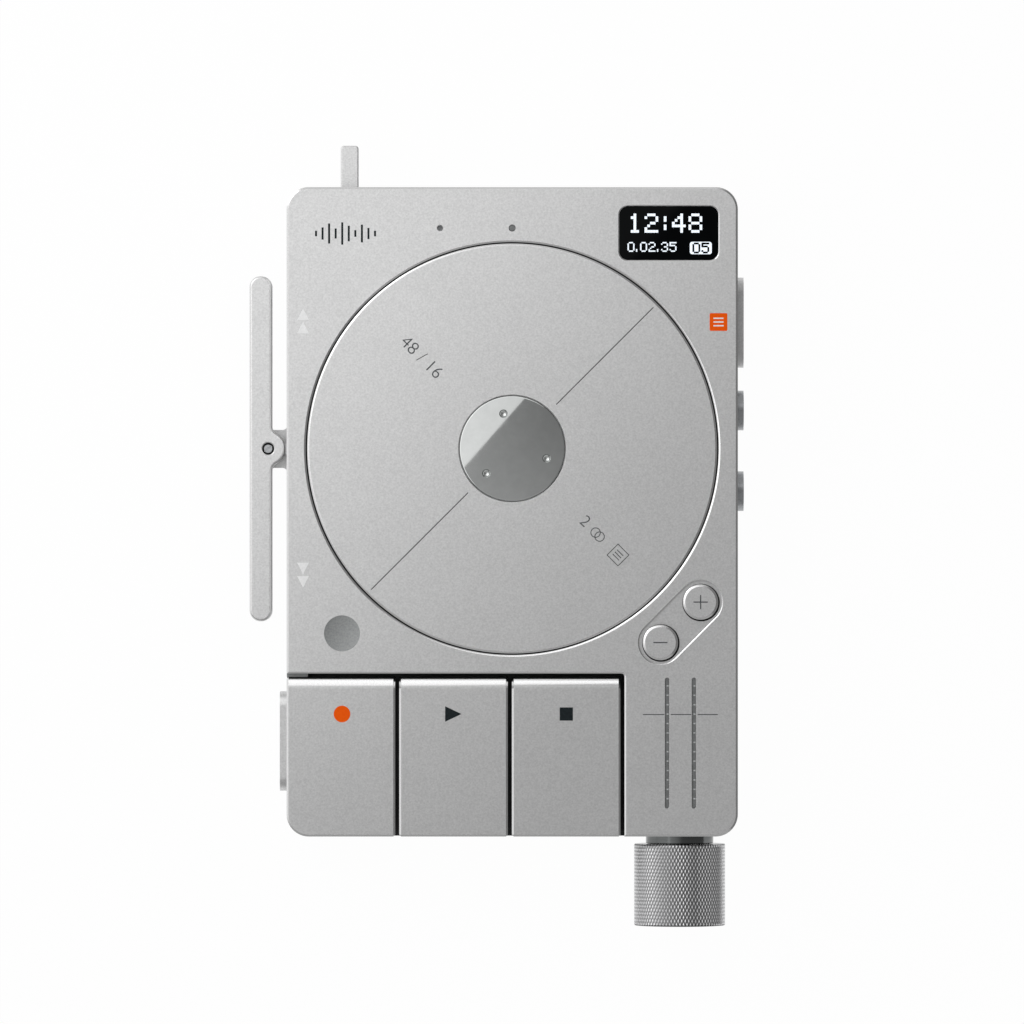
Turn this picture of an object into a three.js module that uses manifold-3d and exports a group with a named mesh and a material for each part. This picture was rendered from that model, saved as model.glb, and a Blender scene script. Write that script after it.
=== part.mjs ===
// A pocket audio recorder with a motor-driven reel, three press keys and a knurled volume knob.
// Millimetres. X runs to the right of the front face, Y towards its top edge, Z out of it.
// The origin is the middle of the rear face, on which the recorder lies.
import * as THREE from 'three'
import { mergeVertices } from 'three/addons/utils/BufferGeometryUtils.js'
import Module from 'manifold-3d'

const wasm = await Module()
wasm.setup()

// Body
const bodyWidth = 66.7
const bodyLength = 96
const bodyDepth = 16
const bodyCornerRadius = 3.3
const bodyEdgeRound = 0.4
const sideWall = 1.5
const frontWall = 1.5

// Clearances: between fixed pieces, round sliding and turning ones, and past a piece's travel
const fitClearance = 0.15
const slideClearance = 0.2
const stopClearance = 0.25
const overrun = 1

// Rear cover and its screws
const coverThickness = 1.4
const screwInset = 3.6
const screwHeadRadius = 1.3
const screwHeadHeight = 0.65
const screwHeadDepth = 0.1
const screwShankRadius = 0.7
const screwLength = 6.5
const screwSocketRadius = 0.55
const screwSocketDepth = 0.35
const postRadius = 2.4
const postTipRadius = 2

// Main board and battery
const boardDrop = 2.6
const boardThickness = 1
const boardMargin = 3.9
const boardEndMargin = 2.5
const batteryCornerRadius = 1.5
const batteryEndMargin = 3.2
const batteryFromMotor = 3.65
const batteryFromSpeaker = 2.8
const batteryFloorGap = 0.45

// Reel: pocket, disc, cap
const pocketFromSide = 2.6
const pocketFromTopRow = 1.84
const pocketFromScreen = 1.2
const pocketDepth = 3
const pocketWall = 1.2
const pocketFloorThickness = 1.2
const discGroove = 0.3
const discThickness = 2.5
const discChamfer = 0.25
const capRadius = 7.8
const capGap = 0.2
const capSeatDepth = 1.2
const capCrown = 0.12
const capEdgeRound = 0.15
const dimpleCount = 3
const dimpleRadius = 0.6
const dimpleDepth = 0.3
const dimpleCircleRadius = 5.3
const dimpleStartAngle = 104

// Reel motor
const spindleRadius = 1.5
const bearingRadius = 3.4
const bearingLength = 2
const motorBossRadius = 5.4
const motorShare = 0.488
const bellThickness = 1
const bellHubRadius = 3
const bellHubHeight = 2
const motorFloorGap = 1
const motorHeadroom = 1.8
const magnetThickness = 1
const magnetRise = 2.6
const statorAirGap = 0.35
const statorInset = 0.4
const statorYoke = 1.8
const toothCount = 12
const toothWidth = 2
const toothTipDepth = 0.9
const toothTipGap = 1.4
const motorBoardGap = 1

// Keys and their bay
const bayFromRight = 16.75
const bayFromPocket = 2.5
const bayDepthShare = 0.28
const bayFloorThickness = 1.2
const bayCornerRadius = 0.4
const keyCount = 3
const keyGap = 0.6
const keyTopGap = 0.66
const keyTravel = 1
const keyRoll = 1.5
const keyBevel = 0.22
const keyStemRadius = 1.1
const keyStemShare = 0.2
const keySwitchWidth = 3.8

// Volume buttons beside the reel
const volumeFromPocket = 5
const volumeButtonSpacing = 8.43
const volumePairAngle = 45.2
const volumeButtonRadius = 2.6
const volumeButtonRise = 0.4
const volumeButtonLip = 0.55
const volumeRecessRadius = 3.28
const volumeRecessDepth = 0.35
const volumeSwitchWidth = 3

// Press switches, all alike but for their width
const switchHeight = 2.4
const switchFloor = 0.4
const stemEngagement = 0.6
const pressStemRadius = 0.8

// Screen, microphone, status light and finger dimple
const screenWidth = 14.7
const screenHeight = 8.05
const screenCornerRadius = 1.3
const screenFromRight = 2.86
const screenFromTop = 2.78
const screenThickness = 0.8
const screenLedge = 0.9
const displayWidth = 13.6
const displayHeight = 7.6
const displayThickness = 1.6
const topRowFromTop = 6.06
const microphoneFromCentre = 10.67
const microphoneHoleRadius = 0.5
const microphoneRadius = 2
const microphoneHeight = 1.9
const lightRadius = 0.45
const lightFlangeRadius = 0.9
const lightFlangeDepth = 2.2
const lightFlangeThickness = 0.6
const fingerDimpleRadius = 2.65
const fingerDimpleDepth = 0.7
const fingerDimpleFromLeft = 8.2
const fingerDimpleFromBay = 5.93

// Level meters
const levelSpacing = 3.97
const levelSlotWidth = 0.7
const levelRise = 3.98
const levelSink = 0.15
const levelGuideWidth = 2
const levelBoardWidth = 9.4
const levelBoardThickness = 0.8
const levelBoardDrop = 1.5

// Volume knob, collar and encoder
const knobFromRight = 8.48
const knobFloorGap = 1.2
const knobLength = 12.1
const knobGap = 0.3
const knobEdgeRound = 0.3
const knobRim = 0.5
const knurlDepth = 0.26
const knurlColumns = 52
const knurlRows = 16
const knobBoreDepth = 9
const shaftRadius = 1.5
const shaftEngagement = 4.5
const collarInset = 1.78
const collarThickness = 1
const bushingRadius = 3.4
const encoderInset = 0.22
const encoderHeadroom = 0.4
const encoderLength = 6
const encoderSetback = 1.3

// Rocker lever on the left side
const rockerWidth = 3.4
const rockerLengthShare = 0.534
const rockerThickness = 4.2
const rockerGap = 2.22
const rockerEdgeRound = 0.35
const rockerHubRadius = 2.5
const rockerHubGap = 0.35
const rockerFillet = 1.2
const rockerSwing = 4
const fingerWidth = 1.6
const fingerHeight = 2
const fingerLength = 8.2
const fingerEngagement = 2.2
const bracketWidth = 5.65
const bracketFlare = 0.85
const bracketThickness = 2.7
const bracketReach = 5.15
const bracketCornerRadius = 1.2
const tenonWidth = 4
const tenonInset = 0.3
const pivotScrewRadius = 0.45
const pivotHeadRadius = 0.68
const pivotHeadHeight = 0.6
const pivotCounterbore = 0.25

// Buttons on the right side and the key on the left side
const sideTravel = 0.6
const sideLip = 0.35
const sideLipThickness = 0.8
const sideButtonRound = 0.35
const sideSwitchLength = 4
const sideSwitchWidth = 3.6
const memoLength = 13.4
const memoHeight = 4.4
const memoFromTop = 19.9
const memoProtrusion = 1
const roundButtonDiameter = 5.9
const roundButtonProtrusion = 1
const upperButtonFromTop = 32.95
const lowerButtonFromTop = 44.93
const leftKeyLengthShare = 0.154
const leftKeyHeight = 4.2
const leftKeyDrop = 0.6
const leftKeyProtrusion = 1.15

// Mode lever and sockets in the top edge
const modeWidth = 2.65
const modeThickness = 1.8
const modeProtrusion = 6.36
const modeRootRadius = 1.2
const modePivotDepth = 4.5
const modeSwing = 10
const modeCornerRadius = 0.35
const modePinRadius = 0.5
const modePinLength = 4.4
const modeSwitchWidth = 5.2
const modeSwitchLength = 4.4
const socketProud = 0.1
const jackWidth = 6
const jackHeight = 5
const jackLength = 12
const jackNoseRadius = 2.3
const jackBoreRadius = 1.78
const usbWidth = 8.94
const usbHeight = 3.2
const usbLength = 7.3
const usbShell = 0.3
const usbTongueWidth = 6.7
const usbTongueThickness = 0.7
const usbTongueLength = 5.2
const topEdgeGapShares = [0.0275, 0.09, 0.2216, 0.2216, 0.1343]

// Speaker behind a field of round holes
const speakerRadius = 7
const speakerHeadroom = 0.6
const speakerFromRight = 11.05
const speakerRise = 20.5
const speakerRim = 1
const speakerConeDepth = 1.6
const speakerCapRadius = 2.2
const grilleHoleRadius = 0.55
const grillePitch = 2.1
const grilleRings = 2

// Facets round a circle
const fineSides = 48
const middleSides = 28
const coarseSides = 14
const smallSides = 8
const grilleSides = 6
const screwSocketSides = 6
const cornerSegments = 4
const sideHoleSegments = 3
const roundSegments = 2

// Edges and heights that the pieces share
const right = bodyWidth / 2
const left = -right
const top = bodyLength / 2
const bottom = -top
const middleDepth = bodyDepth / 2
const frontUnderside = bodyDepth - frontWall
const pocketFloor = bodyDepth - pocketDepth
const pocketUnderside = pocketFloor - pocketFloorThickness
const bayFloor = bodyDepth * (1 - bayDepthShare)
const bayUnderside = bayFloor - bayFloorThickness
const boardHeight = middleDepth - boardDrop
const boardTop = boardHeight + boardThickness
const topRowY = top - topRowFromTop
const screenX = right - screenFromRight - screenWidth / 2
const screenY = top - screenFromTop - screenHeight / 2
const pocketRadius = right - pocketFromSide
const reelBelowScreen = screenY - screenHeight / 2
  - Math.sqrt((pocketRadius + pocketFromScreen) ** 2 - (screenX - screenWidth / 2) ** 2)
const reelY = Math.min(topRowY - pocketFromTopRow - pocketRadius, reelBelowScreen)
const motorRadius = pocketRadius * motorShare
const bayTop = reelY - pocketRadius - bayFromPocket
const bayLength = bayTop - bottom
const bayRight = right - bayFromRight
const bayWidth = bayRight - left
const keyWidth = (bayWidth - keyCount * keyGap) / keyCount
const keyLength = bayLength - keyTopGap
const keyUnderside = bayFloor + keyTravel + slideClearance
const switchTop = boardTop + switchHeight
const stemTip = switchTop - stemEngagement
const keyStemLow = sideWall + stopClearance + keySwitchWidth / 2
const keyStemHigh = keyLength - keyStemRadius - slideClearance
const keyStemRise = keyStemLow + keyStemShare * (keyStemHigh - keyStemLow)
const knobX = right - knobFromRight
const knobRadius = middleDepth - knobFloorGap
const collarRadius = knobRadius - collarInset
const encoderWidth = 2 * (collarRadius - encoderInset)
const encoderFront = bottom + sideWall + encoderSetback
const encoderBack = encoderFront + encoderLength
const speakerX = right - speakerFromRight
const speakerY = bottom + speakerRise
const speakerHeight = boardHeight - coverThickness - speakerHeadroom
const displayLow = frontUnderside - displayThickness
const levelBoardHigh = frontUnderside - levelBoardDrop
const levelBoardLow = levelBoardHigh - levelBoardThickness
const encoderHeight = 2 * (levelBoardLow - encoderHeadroom - middleDepth)
const rockerLength = bodyLength * rockerLengthShare
const leftKeyLength = bodyLength * leftKeyLengthShare
const leftKeyRise = screwInset + postRadius + sideLip + slideClearance + leftKeyLength / 2
const quarterTurn = Math.PI / 2
const halfTurn = Math.PI
const fullTurn = Math.PI * 2
const screwPlaces = [
  [left + screwInset, top - screwInset],
  [right - screwInset, top - screwInset],
  [left + screwInset, bottom + screwInset],
  [right - screwInset, encoderBack + postRadius + stopClearance],
]

// Finishes
const finish = (color, roughness, metalness) => () =>
  new THREE.MeshStandardMaterial({ color, roughness, metalness, flatShading: true })
const blastedAluminium = finish(0xd2d3d3, 0.5, 0.9)
const polishedMetal = finish(0xc4c6c6, 0.08, 1)
const knurledMetal = finish(0xb4b6b6, 0.3, 1)
const blackGlass = finish(0x0c0d0f, 0.05, 0)
const smokedPlastic = finish(0x6f7171, 0.35, 0)
const blackPlastic = finish(0x17181a, 0.5, 0)
const greenBoard = finish(0x1d4a38, 0.55, 0)
const foilPouch = finish(0x9fa3a8, 0.4, 0.6)
const steel = finish(0x8d9093, 0.3, 1)
const copper = finish(0xa8623a, 0.35, 0.9)

// Solids
function solid(shape) {
  if (shape instanceof wasm.Manifold) return shape
  shape.deleteAttribute('normal')
  shape.deleteAttribute('uv')
  const welded = mergeVertices(shape)
  const corners = welded.index.array
  const kept = []
  for (let i = 0; i < corners.length; i += 3) {
    const [a, b, c] = corners.slice(i, i + 3)
    if (a !== b && b !== c && c !== a) kept.push(a, b, c)
  }
  const vertProperties = new Float32Array(welded.attributes.position.array)
  const mesh = new wasm.Mesh({ numProp: 3, vertProperties, triVerts: new Uint32Array(kept) })
  return new wasm.Manifold(mesh)
}

const join = (first, ...others) => others.reduce((sum, next) => sum.add(solid(next)), solid(first))
const cut = (first, ...tools) => tools.reduce((rest, tool) => rest.subtract(solid(tool)), solid(first))
const common = (first, second) => solid(first).intersect(solid(second))

function surface(shape) {
  const { numProp, vertProperties, triVerts } = solid(shape).getMesh()
  const geometry = new THREE.BufferGeometry()
  geometry.setAttribute('position', new THREE.BufferAttribute(vertProperties, numProp))
  geometry.setIndex(new THREE.BufferAttribute(triVerts, 1))
  return geometry
}

function piece(parent, name, shape, material) {
  const mesh = new THREE.Mesh(surface(shape), material())
  mesh.name = name
  parent.add(mesh)
  return mesh
}

function groupAt(parent, x, y, z) {
  const group = new THREE.Group()
  group.position.set(x, y, z)
  parent.add(group)
  return group
}

// Outlines
function roundedRectangle(width, height, radius) {
  const [x, y] = [width / 2 - radius, height / 2 - radius]
  const shape = new THREE.Shape()
  shape.absarc(x, y, radius, 0, quarterTurn)
  shape.absarc(-x, y, radius, quarterTurn, halfTurn)
  shape.absarc(-x, -y, radius, halfTurn, halfTurn + quarterTurn)
  shape.absarc(x, -y, radius, halfTurn + quarterTurn, fullTurn)
  return shape
}

const pill = (width, height) => roundedRectangle(width, height, Math.min(width, height) / 2)

// A plain slab of an outline between two heights, and one with both edges rounded
function slab(shape, low, high, curveSegments = cornerSegments) {
  const settings = { depth: high - low, bevelEnabled: false, curveSegments }
  return new THREE.ExtrudeGeometry(shape, settings).translate(0, 0, low)
}

function softSlab(shape, low, high, round, curveSegments = cornerSegments) {
  const settings = {
    depth: high - low - 2 * round,
    bevelThickness: round,
    bevelSize: round,
    bevelOffset: -round,
    bevelSegments: roundSegments,
    curveSegments,
  }
  return new THREE.ExtrudeGeometry(shape, settings).translate(0, 0, low + round)
}

function box(width, length, low, high) {
  const height = high - low
  return new THREE.BoxGeometry(width, length, height).translate(0, 0, low + height / 2)
}

function rod(radius, low, high, sides = coarseSides) {
  const height = high - low
  const geometry = new THREE.CylinderGeometry(radius, radius, height, sides)
  return geometry.rotateX(quarterTurn).translate(0, 0, low + height / 2)
}

// A profile of [radius, height] points turned about Z
function turned(profile, sides = coarseSides) {
  const points = profile.map(([radius, height]) => new THREE.Vector2(radius, height))
  return new THREE.LatheGeometry(points, sides).rotateX(quarterTurn)
}

// Turns what was made along Z to run along X or Y. Along X, an outline's x runs down Z.
const alongX = (geometry) => geometry.rotateY(quarterTurn)
const alongY = (geometry) => geometry.rotateX(-quarterTurn)

// A lens-shaped tool that leaves a round hollow in a face at a given height
function hollow(radius, depth, faceHeight, sides) {
  const sphere = (radius ** 2 + depth ** 2) / (2 * depth)
  const spread = Math.asin(radius / sphere)
  const arc = Array.from({ length: cornerSegments }, (_, i) => {
    const angle = (spread * i) / (cornerSegments - 1)
    return [sphere * Math.sin(angle), faceHeight - depth + sphere * (1 - Math.cos(angle))]
  })
  return turned([...arc, [radius, faceHeight + overrun], [0, faceHeight + overrun]], sides)
}

const recorder = new THREE.Group()

// Places of the side buttons: name, height of the outline, length, centre and how far it stands out
const sideButtons = [
  { name: 'memo', side: 1, y: top - memoFromTop, length: memoLength, height: memoHeight,
    drop: 0, proud: memoProtrusion },
  { name: 'upper_side', side: 1, y: top - upperButtonFromTop, length: roundButtonDiameter,
    height: roundButtonDiameter, drop: 0, proud: roundButtonProtrusion },
  { name: 'lower_side', side: 1, y: top - lowerButtonFromTop, length: roundButtonDiameter,
    height: roundButtonDiameter, drop: 0, proud: roundButtonProtrusion },
  { name: 'left_side', side: -1, y: bottom + leftKeyRise, length: leftKeyLength,
    height: leftKeyHeight, drop: leftKeyDrop, proud: leftKeyProtrusion },
]
const sideHole = ({ side, y, length, height, drop }) => {
  const shape = pill(height + 2 * slideClearance, length + 2 * slideClearance)
  const depth = sideWall + overrun
  return alongX(slab(shape, -depth, overrun, sideHoleSegments)).translate(0, 0, -drop)
    .scale(side, side, 1).translate(side * right, y, middleDepth)
}

// Places of the plus and minus buttons
const volumeTilt = THREE.MathUtils.degToRad(volumePairAngle)
const volumePairY = reelY - Math.sqrt((pocketRadius + volumeFromPocket) ** 2 - knobX ** 2)
const volumeOffset = [
  (Math.cos(volumeTilt) * volumeButtonSpacing) / 2,
  (Math.sin(volumeTilt) * volumeButtonSpacing) / 2,
]
const volumeButtons = [
  ['plus', knobX + volumeOffset[0], volumePairY + volumeOffset[1]],
  ['minus', knobX - volumeOffset[0], volumePairY - volumeOffset[1]],
]

// Mode lever, jacks and USB socket along the top edge, left to right between the two posts. What they
// leave free is shared out between them, and the status light stands between the last two jacks.
const topEdgeWidths = [modeSwitchWidth, jackWidth, jackWidth, jackWidth, usbWidth]
const topEdgeStart = left + screwInset + postRadius
const topEdgeFree = -2 * topEdgeStart - topEdgeWidths.reduce((sum, width) => sum + width)
const topEdgePlaces = topEdgeWidths.map((width, i) => {
  const before = topEdgeWidths.slice(0, i).reduce((sum, next) => sum + next, width / 2)
  const gaps = topEdgeGapShares.slice(0, i + 1).reduce((sum, share) => sum + share)
  return topEdgeStart + before + gaps * topEdgeFree
})
const [modeX, firstJackX, middleJackX, lastJackX, usbX] = topEdgePlaces
const jackPlaces = [firstJackX, middleJackX, lastJackX]
const lightX = (middleJackX + lastJackX) / 2

// Level meters
const levelLength = keyLength - levelRise
const levelTop = bottom + keyLength
const levelY = levelTop - levelLength / 2
const levelXs = [knobX - levelSpacing / 2, knobX + levelSpacing / 2]

// Keys: left edge and whether it carries the body's corner
const keyPlaces = ['record', 'play', 'stop'].map((name, i) => ({
  name, x: left + i * (keyWidth + keyGap), carriesCorner: i === 0,
}))

// Rocker: lever centre line, pivot and the finger's sweep in the wall
const rockerX = left - rockerGap - rockerWidth / 2
const pivotX = left - rockerHubGap - rockerHubRadius
const rockerLow = middleDepth - rockerThickness / 3
const rockerHigh = rockerLow + rockerThickness
const bracketHigh = rockerLow - stopClearance
const bracketLow = bracketHigh - bracketThickness
const swing = Math.tan(THREE.MathUtils.degToRad(rockerSwing))

// The housing's hollow is bounded by the reel's pan, the floor of the key bay and the posts
function screwPost([x, y]) {
  const wide = rod(postRadius, boardTop, Math.min(displayLow, levelBoardLow) - fitClearance, smallSides)
  const tip = rod(postTipRadius, coverThickness, boardTop + overrun, smallSides)
  return join(wide, tip).translate([x, y, 0])
}

function motorBoss() {
  const low = coverThickness + motorFloorGap + bellThickness + bellHubHeight + stopClearance
  return rod(motorBossRadius, low, pocketFloor).translate(0, reelY, 0)
}

function bayShape(margin) {
  const [width, length] = [bayWidth + overrun + margin, bayLength + overrun + margin]
  const shape = roundedRectangle(width, length, bayCornerRadius)
  return [shape, bayRight + margin - width / 2, bayTop + margin - length / 2]
}

function bayBlock(margin, low, high) {
  const [shape, x, y] = bayShape(margin)
  return slab(shape, low, high).translate(x, y, 0)
}

function cavity() {
  const width = bodyWidth - 2 * sideWall
  const length = bodyLength - 2 * sideWall
  const outline = roundedRectangle(width, length, bodyCornerRadius - sideWall)
  const pan = rod(pocketRadius + pocketWall, pocketUnderside, bodyDepth, middleSides)
  return cut(
    slab(outline, -overrun, frontUnderside),
    pan.translate(0, reelY, 0),
    bayBlock(sideWall, bayUnderside, bodyDepth),
    motorBoss(),
    ...screwPlaces.map(screwPost),
  )
}

function frontOpenings() {
  const window = roundedRectangle(
    screenWidth + 2 * fitClearance, screenHeight + 2 * fitClearance, screenCornerRadius + fitClearance)
  const view = roundedRectangle(
    screenWidth - 2 * screenLedge, screenHeight - 2 * screenLedge, screenCornerRadius - fitClearance)
  const recess = pill(volumeButtonSpacing + 2 * volumeRecessRadius, 2 * volumeRecessRadius)
  const past = bodyDepth + overrun
  return [
    slab(window, bodyDepth - screenThickness, past).translate(screenX, screenY, 0),
    slab(view, frontUnderside - overrun, past).translate(screenX, screenY, 0),
    rod(microphoneHoleRadius, frontUnderside - overrun, past, smallSides)
      .translate(-microphoneFromCentre, topRowY, 0),
    rod(lightRadius + fitClearance, frontUnderside - overrun, past, smallSides)
      .translate(lightX, topRowY, 0),
    rod(lightFlangeRadius + fitClearance, pocketUnderside - overrun, frontUnderside, smallSides)
      .translate(lightX, topRowY, 0),
    hollow(fingerDimpleRadius, fingerDimpleDepth, bodyDepth, coarseSides)
      .translate(left + fingerDimpleFromLeft, bayTop + fingerDimpleFromBay, 0),
    slab(recess, bodyDepth - volumeRecessDepth, past)
      .rotateZ(volumeTilt).translate(knobX, volumePairY, 0),
    ...volumeButtons.map(([, x, y]) =>
      rod(volumeButtonRadius + slideClearance, frontUnderside - overrun, past, coarseSides)
        .translate(x, y, 0)),
    ...levelXs.map((x) =>
      slab(pill(levelSlotWidth, levelLength), frontUnderside - overrun, past, roundSegments)
        .translate(x, levelY, 0)),
  ]
}

function sideOpenings() {
  const wallX = left + sideWall / 2
  const reach = wallX + sideWall - pivotX
  const fingerSlotWidth = fingerWidth + 2 * (reach * swing + stopClearance)
  const fingerSlot = new THREE.BoxGeometry(
    sideWall + 2 * overrun, fingerSlotWidth, fingerHeight + 2 * stopClearance)
  const tenonHole = new THREE.BoxGeometry(
    sideWall + 2 * overrun, tenonWidth + 2 * fitClearance,
    bracketThickness - 2 * tenonInset + 2 * fitClearance)
  const modeSway = Math.tan(THREE.MathUtils.degToRad(modeSwing)) * modePivotDepth
  const modeSlot = new THREE.BoxGeometry(
    modeWidth + 2 * stopClearance, sideWall + 2 * overrun,
    modeThickness + 2 * (modeSway + stopClearance))
  const topWallY = top - sideWall
  const usbHole = pill(usbWidth + 2 * fitClearance, usbHeight + 2 * fitClearance)
  return [
    ...sideButtons.map(sideHole),
    fingerSlot.translate(wallX, reelY, middleDepth),
    tenonHole.translate(wallX, reelY, (bracketLow + bracketHigh) / 2),
    modeSlot.translate(modeX, top - sideWall / 2, middleDepth),
    ...jackPlaces.map((x) =>
      alongY(rod(jackNoseRadius + fitClearance, -overrun, sideWall + overrun))
        .translate(x, topWallY, middleDepth)),
    alongY(slab(usbHole, -overrun, sideWall + overrun)).translate(usbX, topWallY, middleDepth),
    alongY(rod(bushingRadius + fitClearance, -overrun, sideWall + overrun, middleSides))
      .translate(knobX, bottom, middleDepth),
  ]
}

function housing() {
  const outline = roundedRectangle(bodyWidth, bodyLength, bodyCornerRadius)
  const pocket = rod(pocketRadius, pocketFloor, bodyDepth + overrun, fineSides).translate(0, reelY, 0)
  const bearingBore = rod(bearingRadius + fitClearance, coverThickness, bodyDepth).translate(0, reelY, 0)
  const stemHoles = keyPlaces.map(({ x }) =>
    rod(keyStemRadius + slideClearance, bayUnderside - overrun, bayFloor + overrun, smallSides)
      .translate(x + keyWidth / 2, bottom + keyStemRise, 0))
  const screwHoles = screwPlaces.map(([x, y]) =>
    rod(screwShankRadius + fitClearance, -overrun, screwHeadDepth + screwLength + stopClearance, smallSides)
      .translate(x, y, 0))
  return cut(
    softSlab(outline, 0, bodyDepth, bodyEdgeRound),
    cavity(), pocket, bearingBore, bayBlock(0, bayFloor, bodyDepth + overrun),
    ...stemHoles, ...screwHoles, ...frontOpenings(), ...sideOpenings(),
  )
}

piece(recorder, 'front_housing', housing(), blastedAluminium)

// Rear cover, with a ringed field of holes over the speaker
function grilleHoles() {
  const holes = []
  for (let ring = 0; ring <= grilleRings; ring += 1) {
    const count = Math.max(1, 6 * ring)
    for (let i = 0; i < count; i += 1) {
      const angle = (fullTurn * i) / count
      holes.push(rod(grilleHoleRadius, -overrun, coverThickness + overrun, grilleSides)
        .translate(ring * grillePitch * Math.cos(angle), ring * grillePitch * Math.sin(angle), 0))
    }
  }
  return holes.map((hole) => hole.translate(speakerX, speakerY, 0))
}

function rearCover() {
  const inset = sideWall + fitClearance
  const outline = roundedRectangle(
    bodyWidth - 2 * inset, bodyLength - 2 * inset, bodyCornerRadius - inset)
  const holes = screwPlaces.flatMap(([x, y]) => [
    rod(screwHeadRadius + fitClearance, -overrun, screwHeadDepth + screwHeadHeight).translate(x, y, 0),
    rod(screwShankRadius + fitClearance, -overrun, coverThickness + overrun, smallSides).translate(x, y, 0),
  ])
  return cut(slab(outline, 0, coverThickness), ...holes, ...grilleHoles())
}

function rearScrew() {
  const socketFloor = screwHeadDepth + screwSocketDepth
  const head = rod(screwHeadRadius, screwHeadDepth, screwHeadDepth + screwHeadHeight)
  const shank = rod(screwShankRadius, socketFloor, screwHeadDepth + screwLength, smallSides)
  const socket = rod(screwSocketRadius, -overrun, socketFloor, screwSocketSides)
  return cut(join(head, shank), socket)
}

piece(recorder, 'rear_cover', rearCover(), blastedAluminium)
screwPlaces.forEach(([x, y], i) => {
  piece(groupAt(recorder, x, y, 0), `rear_screw_${i + 1}`, rearScrew(), steel)
})

// Main board, cut out round the motor, the sockets, the encoder and the posts
function mainBoard() {
  const width = bodyWidth - 2 * boardMargin
  const length = bodyLength - 2 * boardEndMargin
  const [low, high] = [boardHeight - overrun, boardTop + overrun]
  const boardEnd = top - boardEndMargin
  const jackDepth = jackLength + stopClearance - (boardEndMargin - sideWall)
  const jackSpan = lastJackX - firstJackX + jackWidth + 2 * stopClearance
  const jackNotch = box(jackSpan, 2 * jackDepth, low, high)
  const usbDepth = usbLength - sideWall + stopClearance
  const usbNotch = box(usbWidth + 2 * stopClearance, 2 * usbDepth, low, high)
  const encoderDepth = encoderBack + stopClearance - (bottom + boardEndMargin)
  const encoderNotch = box(encoderWidth + 2 * stopClearance, 2 * encoderDepth, low, high)
  return cut(
    slab(roundedRectangle(width, length, postTipRadius), boardHeight, boardTop),
    rod(motorRadius + motorBoardGap, low, high, middleSides).translate(0, reelY, 0),
    jackNotch.translate((firstJackX + lastJackX) / 2, boardEnd, 0),
    usbNotch.translate(usbX, boardEnd, 0),
    encoderNotch.translate(knobX, bottom + boardEndMargin, 0),
    ...screwPlaces.map(([x, y]) =>
      rod(postTipRadius + fitClearance, low, high, smallSides).translate(x, y, 0)),
  )
}

piece(recorder, 'main_board', mainBoard(), greenBoard)

// Battery, in the room that the posts, the speaker and the motor leave
const batteryLeft = left + screwInset + postTipRadius + stopClearance
const batteryRight = speakerX - speakerRadius - batteryFromSpeaker
const batteryLow = bottom + batteryEndMargin
const batteryHigh = reelY - motorRadius - batteryFromMotor
const batteryOutline = roundedRectangle(
  batteryRight - batteryLeft, batteryHigh - batteryLow, batteryCornerRadius)
const battery = slab(batteryOutline, coverThickness + batteryFloorGap, boardHeight - fitClearance)
  .translate((batteryLeft + batteryRight) / 2, (batteryLow + batteryHigh) / 2, 0)
piece(recorder, 'battery', battery, foilPouch)

// Speaker: a rim, a hollow cone and a dust cap, its open side against the grille
function speaker() {
  const low = coverThickness
  const high = low + speakerHeight
  return turned([
    [0, low + speakerConeDepth / 2],
    [speakerCapRadius, low + speakerConeDepth],
    [speakerRadius - speakerRim, low + fitClearance],
    [speakerRadius - speakerRim, low],
    [speakerRadius, low],
    [speakerRadius, low + speakerRim],
    [speakerRadius - 2 * speakerRim, high],
    [0, high],
  ], coarseSides)
}

piece(groupAt(recorder, speakerX, speakerY, 0), 'speaker', speaker(), blackPlastic)

// Reel and its motor, all turned about the spindle's axis
const reel = groupAt(recorder, 0, reelY, 0)
const discRadius = pocketRadius - discGroove
const capFloor = bodyDepth - capSeatDepth
const bellLow = coverThickness + motorFloorGap
const bellHigh = pocketUnderside - motorHeadroom
const spindleLow = bellLow - motorFloorGap / 2
const spindleHigh = (bodyDepth - discThickness + capFloor) / 2
const motorBossLow = bellLow + bellThickness + bellHubHeight + stopClearance

function reelDisc() {
  const low = bodyDepth - discThickness
  const plate = turned([
    [0, low],
    [discRadius - discChamfer, low],
    [discRadius, low + discChamfer],
    [discRadius, bodyDepth - discChamfer],
    [discRadius - discChamfer, bodyDepth],
    [0, bodyDepth],
  ], fineSides)
  const seat = rod(capRadius + capGap, capFloor, bodyDepth + overrun, middleSides)
  const bore = rod(spindleRadius + fitClearance, low - overrun, spindleHigh + stopClearance)
  return cut(plate, seat, bore)
}

function reelCap() {
  const crown = Array.from({ length: cornerSegments }, (_, i) => {
    const share = 1 - (i + 1) / cornerSegments
    return [(capRadius - capEdgeRound) * share, bodyDepth + capCrown * (1 - share ** 2)]
  })
  const body = turned([
    [0, capFloor],
    [capRadius, capFloor],
    [capRadius, bodyDepth - capEdgeRound],
    [capRadius - capEdgeRound, bodyDepth],
    ...crown,
  ], middleSides)
  const dimples = Array.from({ length: dimpleCount }, (_, i) => {
    const angle = THREE.MathUtils.degToRad(dimpleStartAngle) + (fullTurn * i) / dimpleCount
    const share = dimpleCircleRadius / capRadius
    return hollow(dimpleRadius, dimpleDepth, bodyDepth + capCrown * (1 - share ** 2), smallSides)
      .translate(dimpleCircleRadius * Math.cos(angle), dimpleCircleRadius * Math.sin(angle), 0)
  })
  return cut(body, ...dimples)
}

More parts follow.
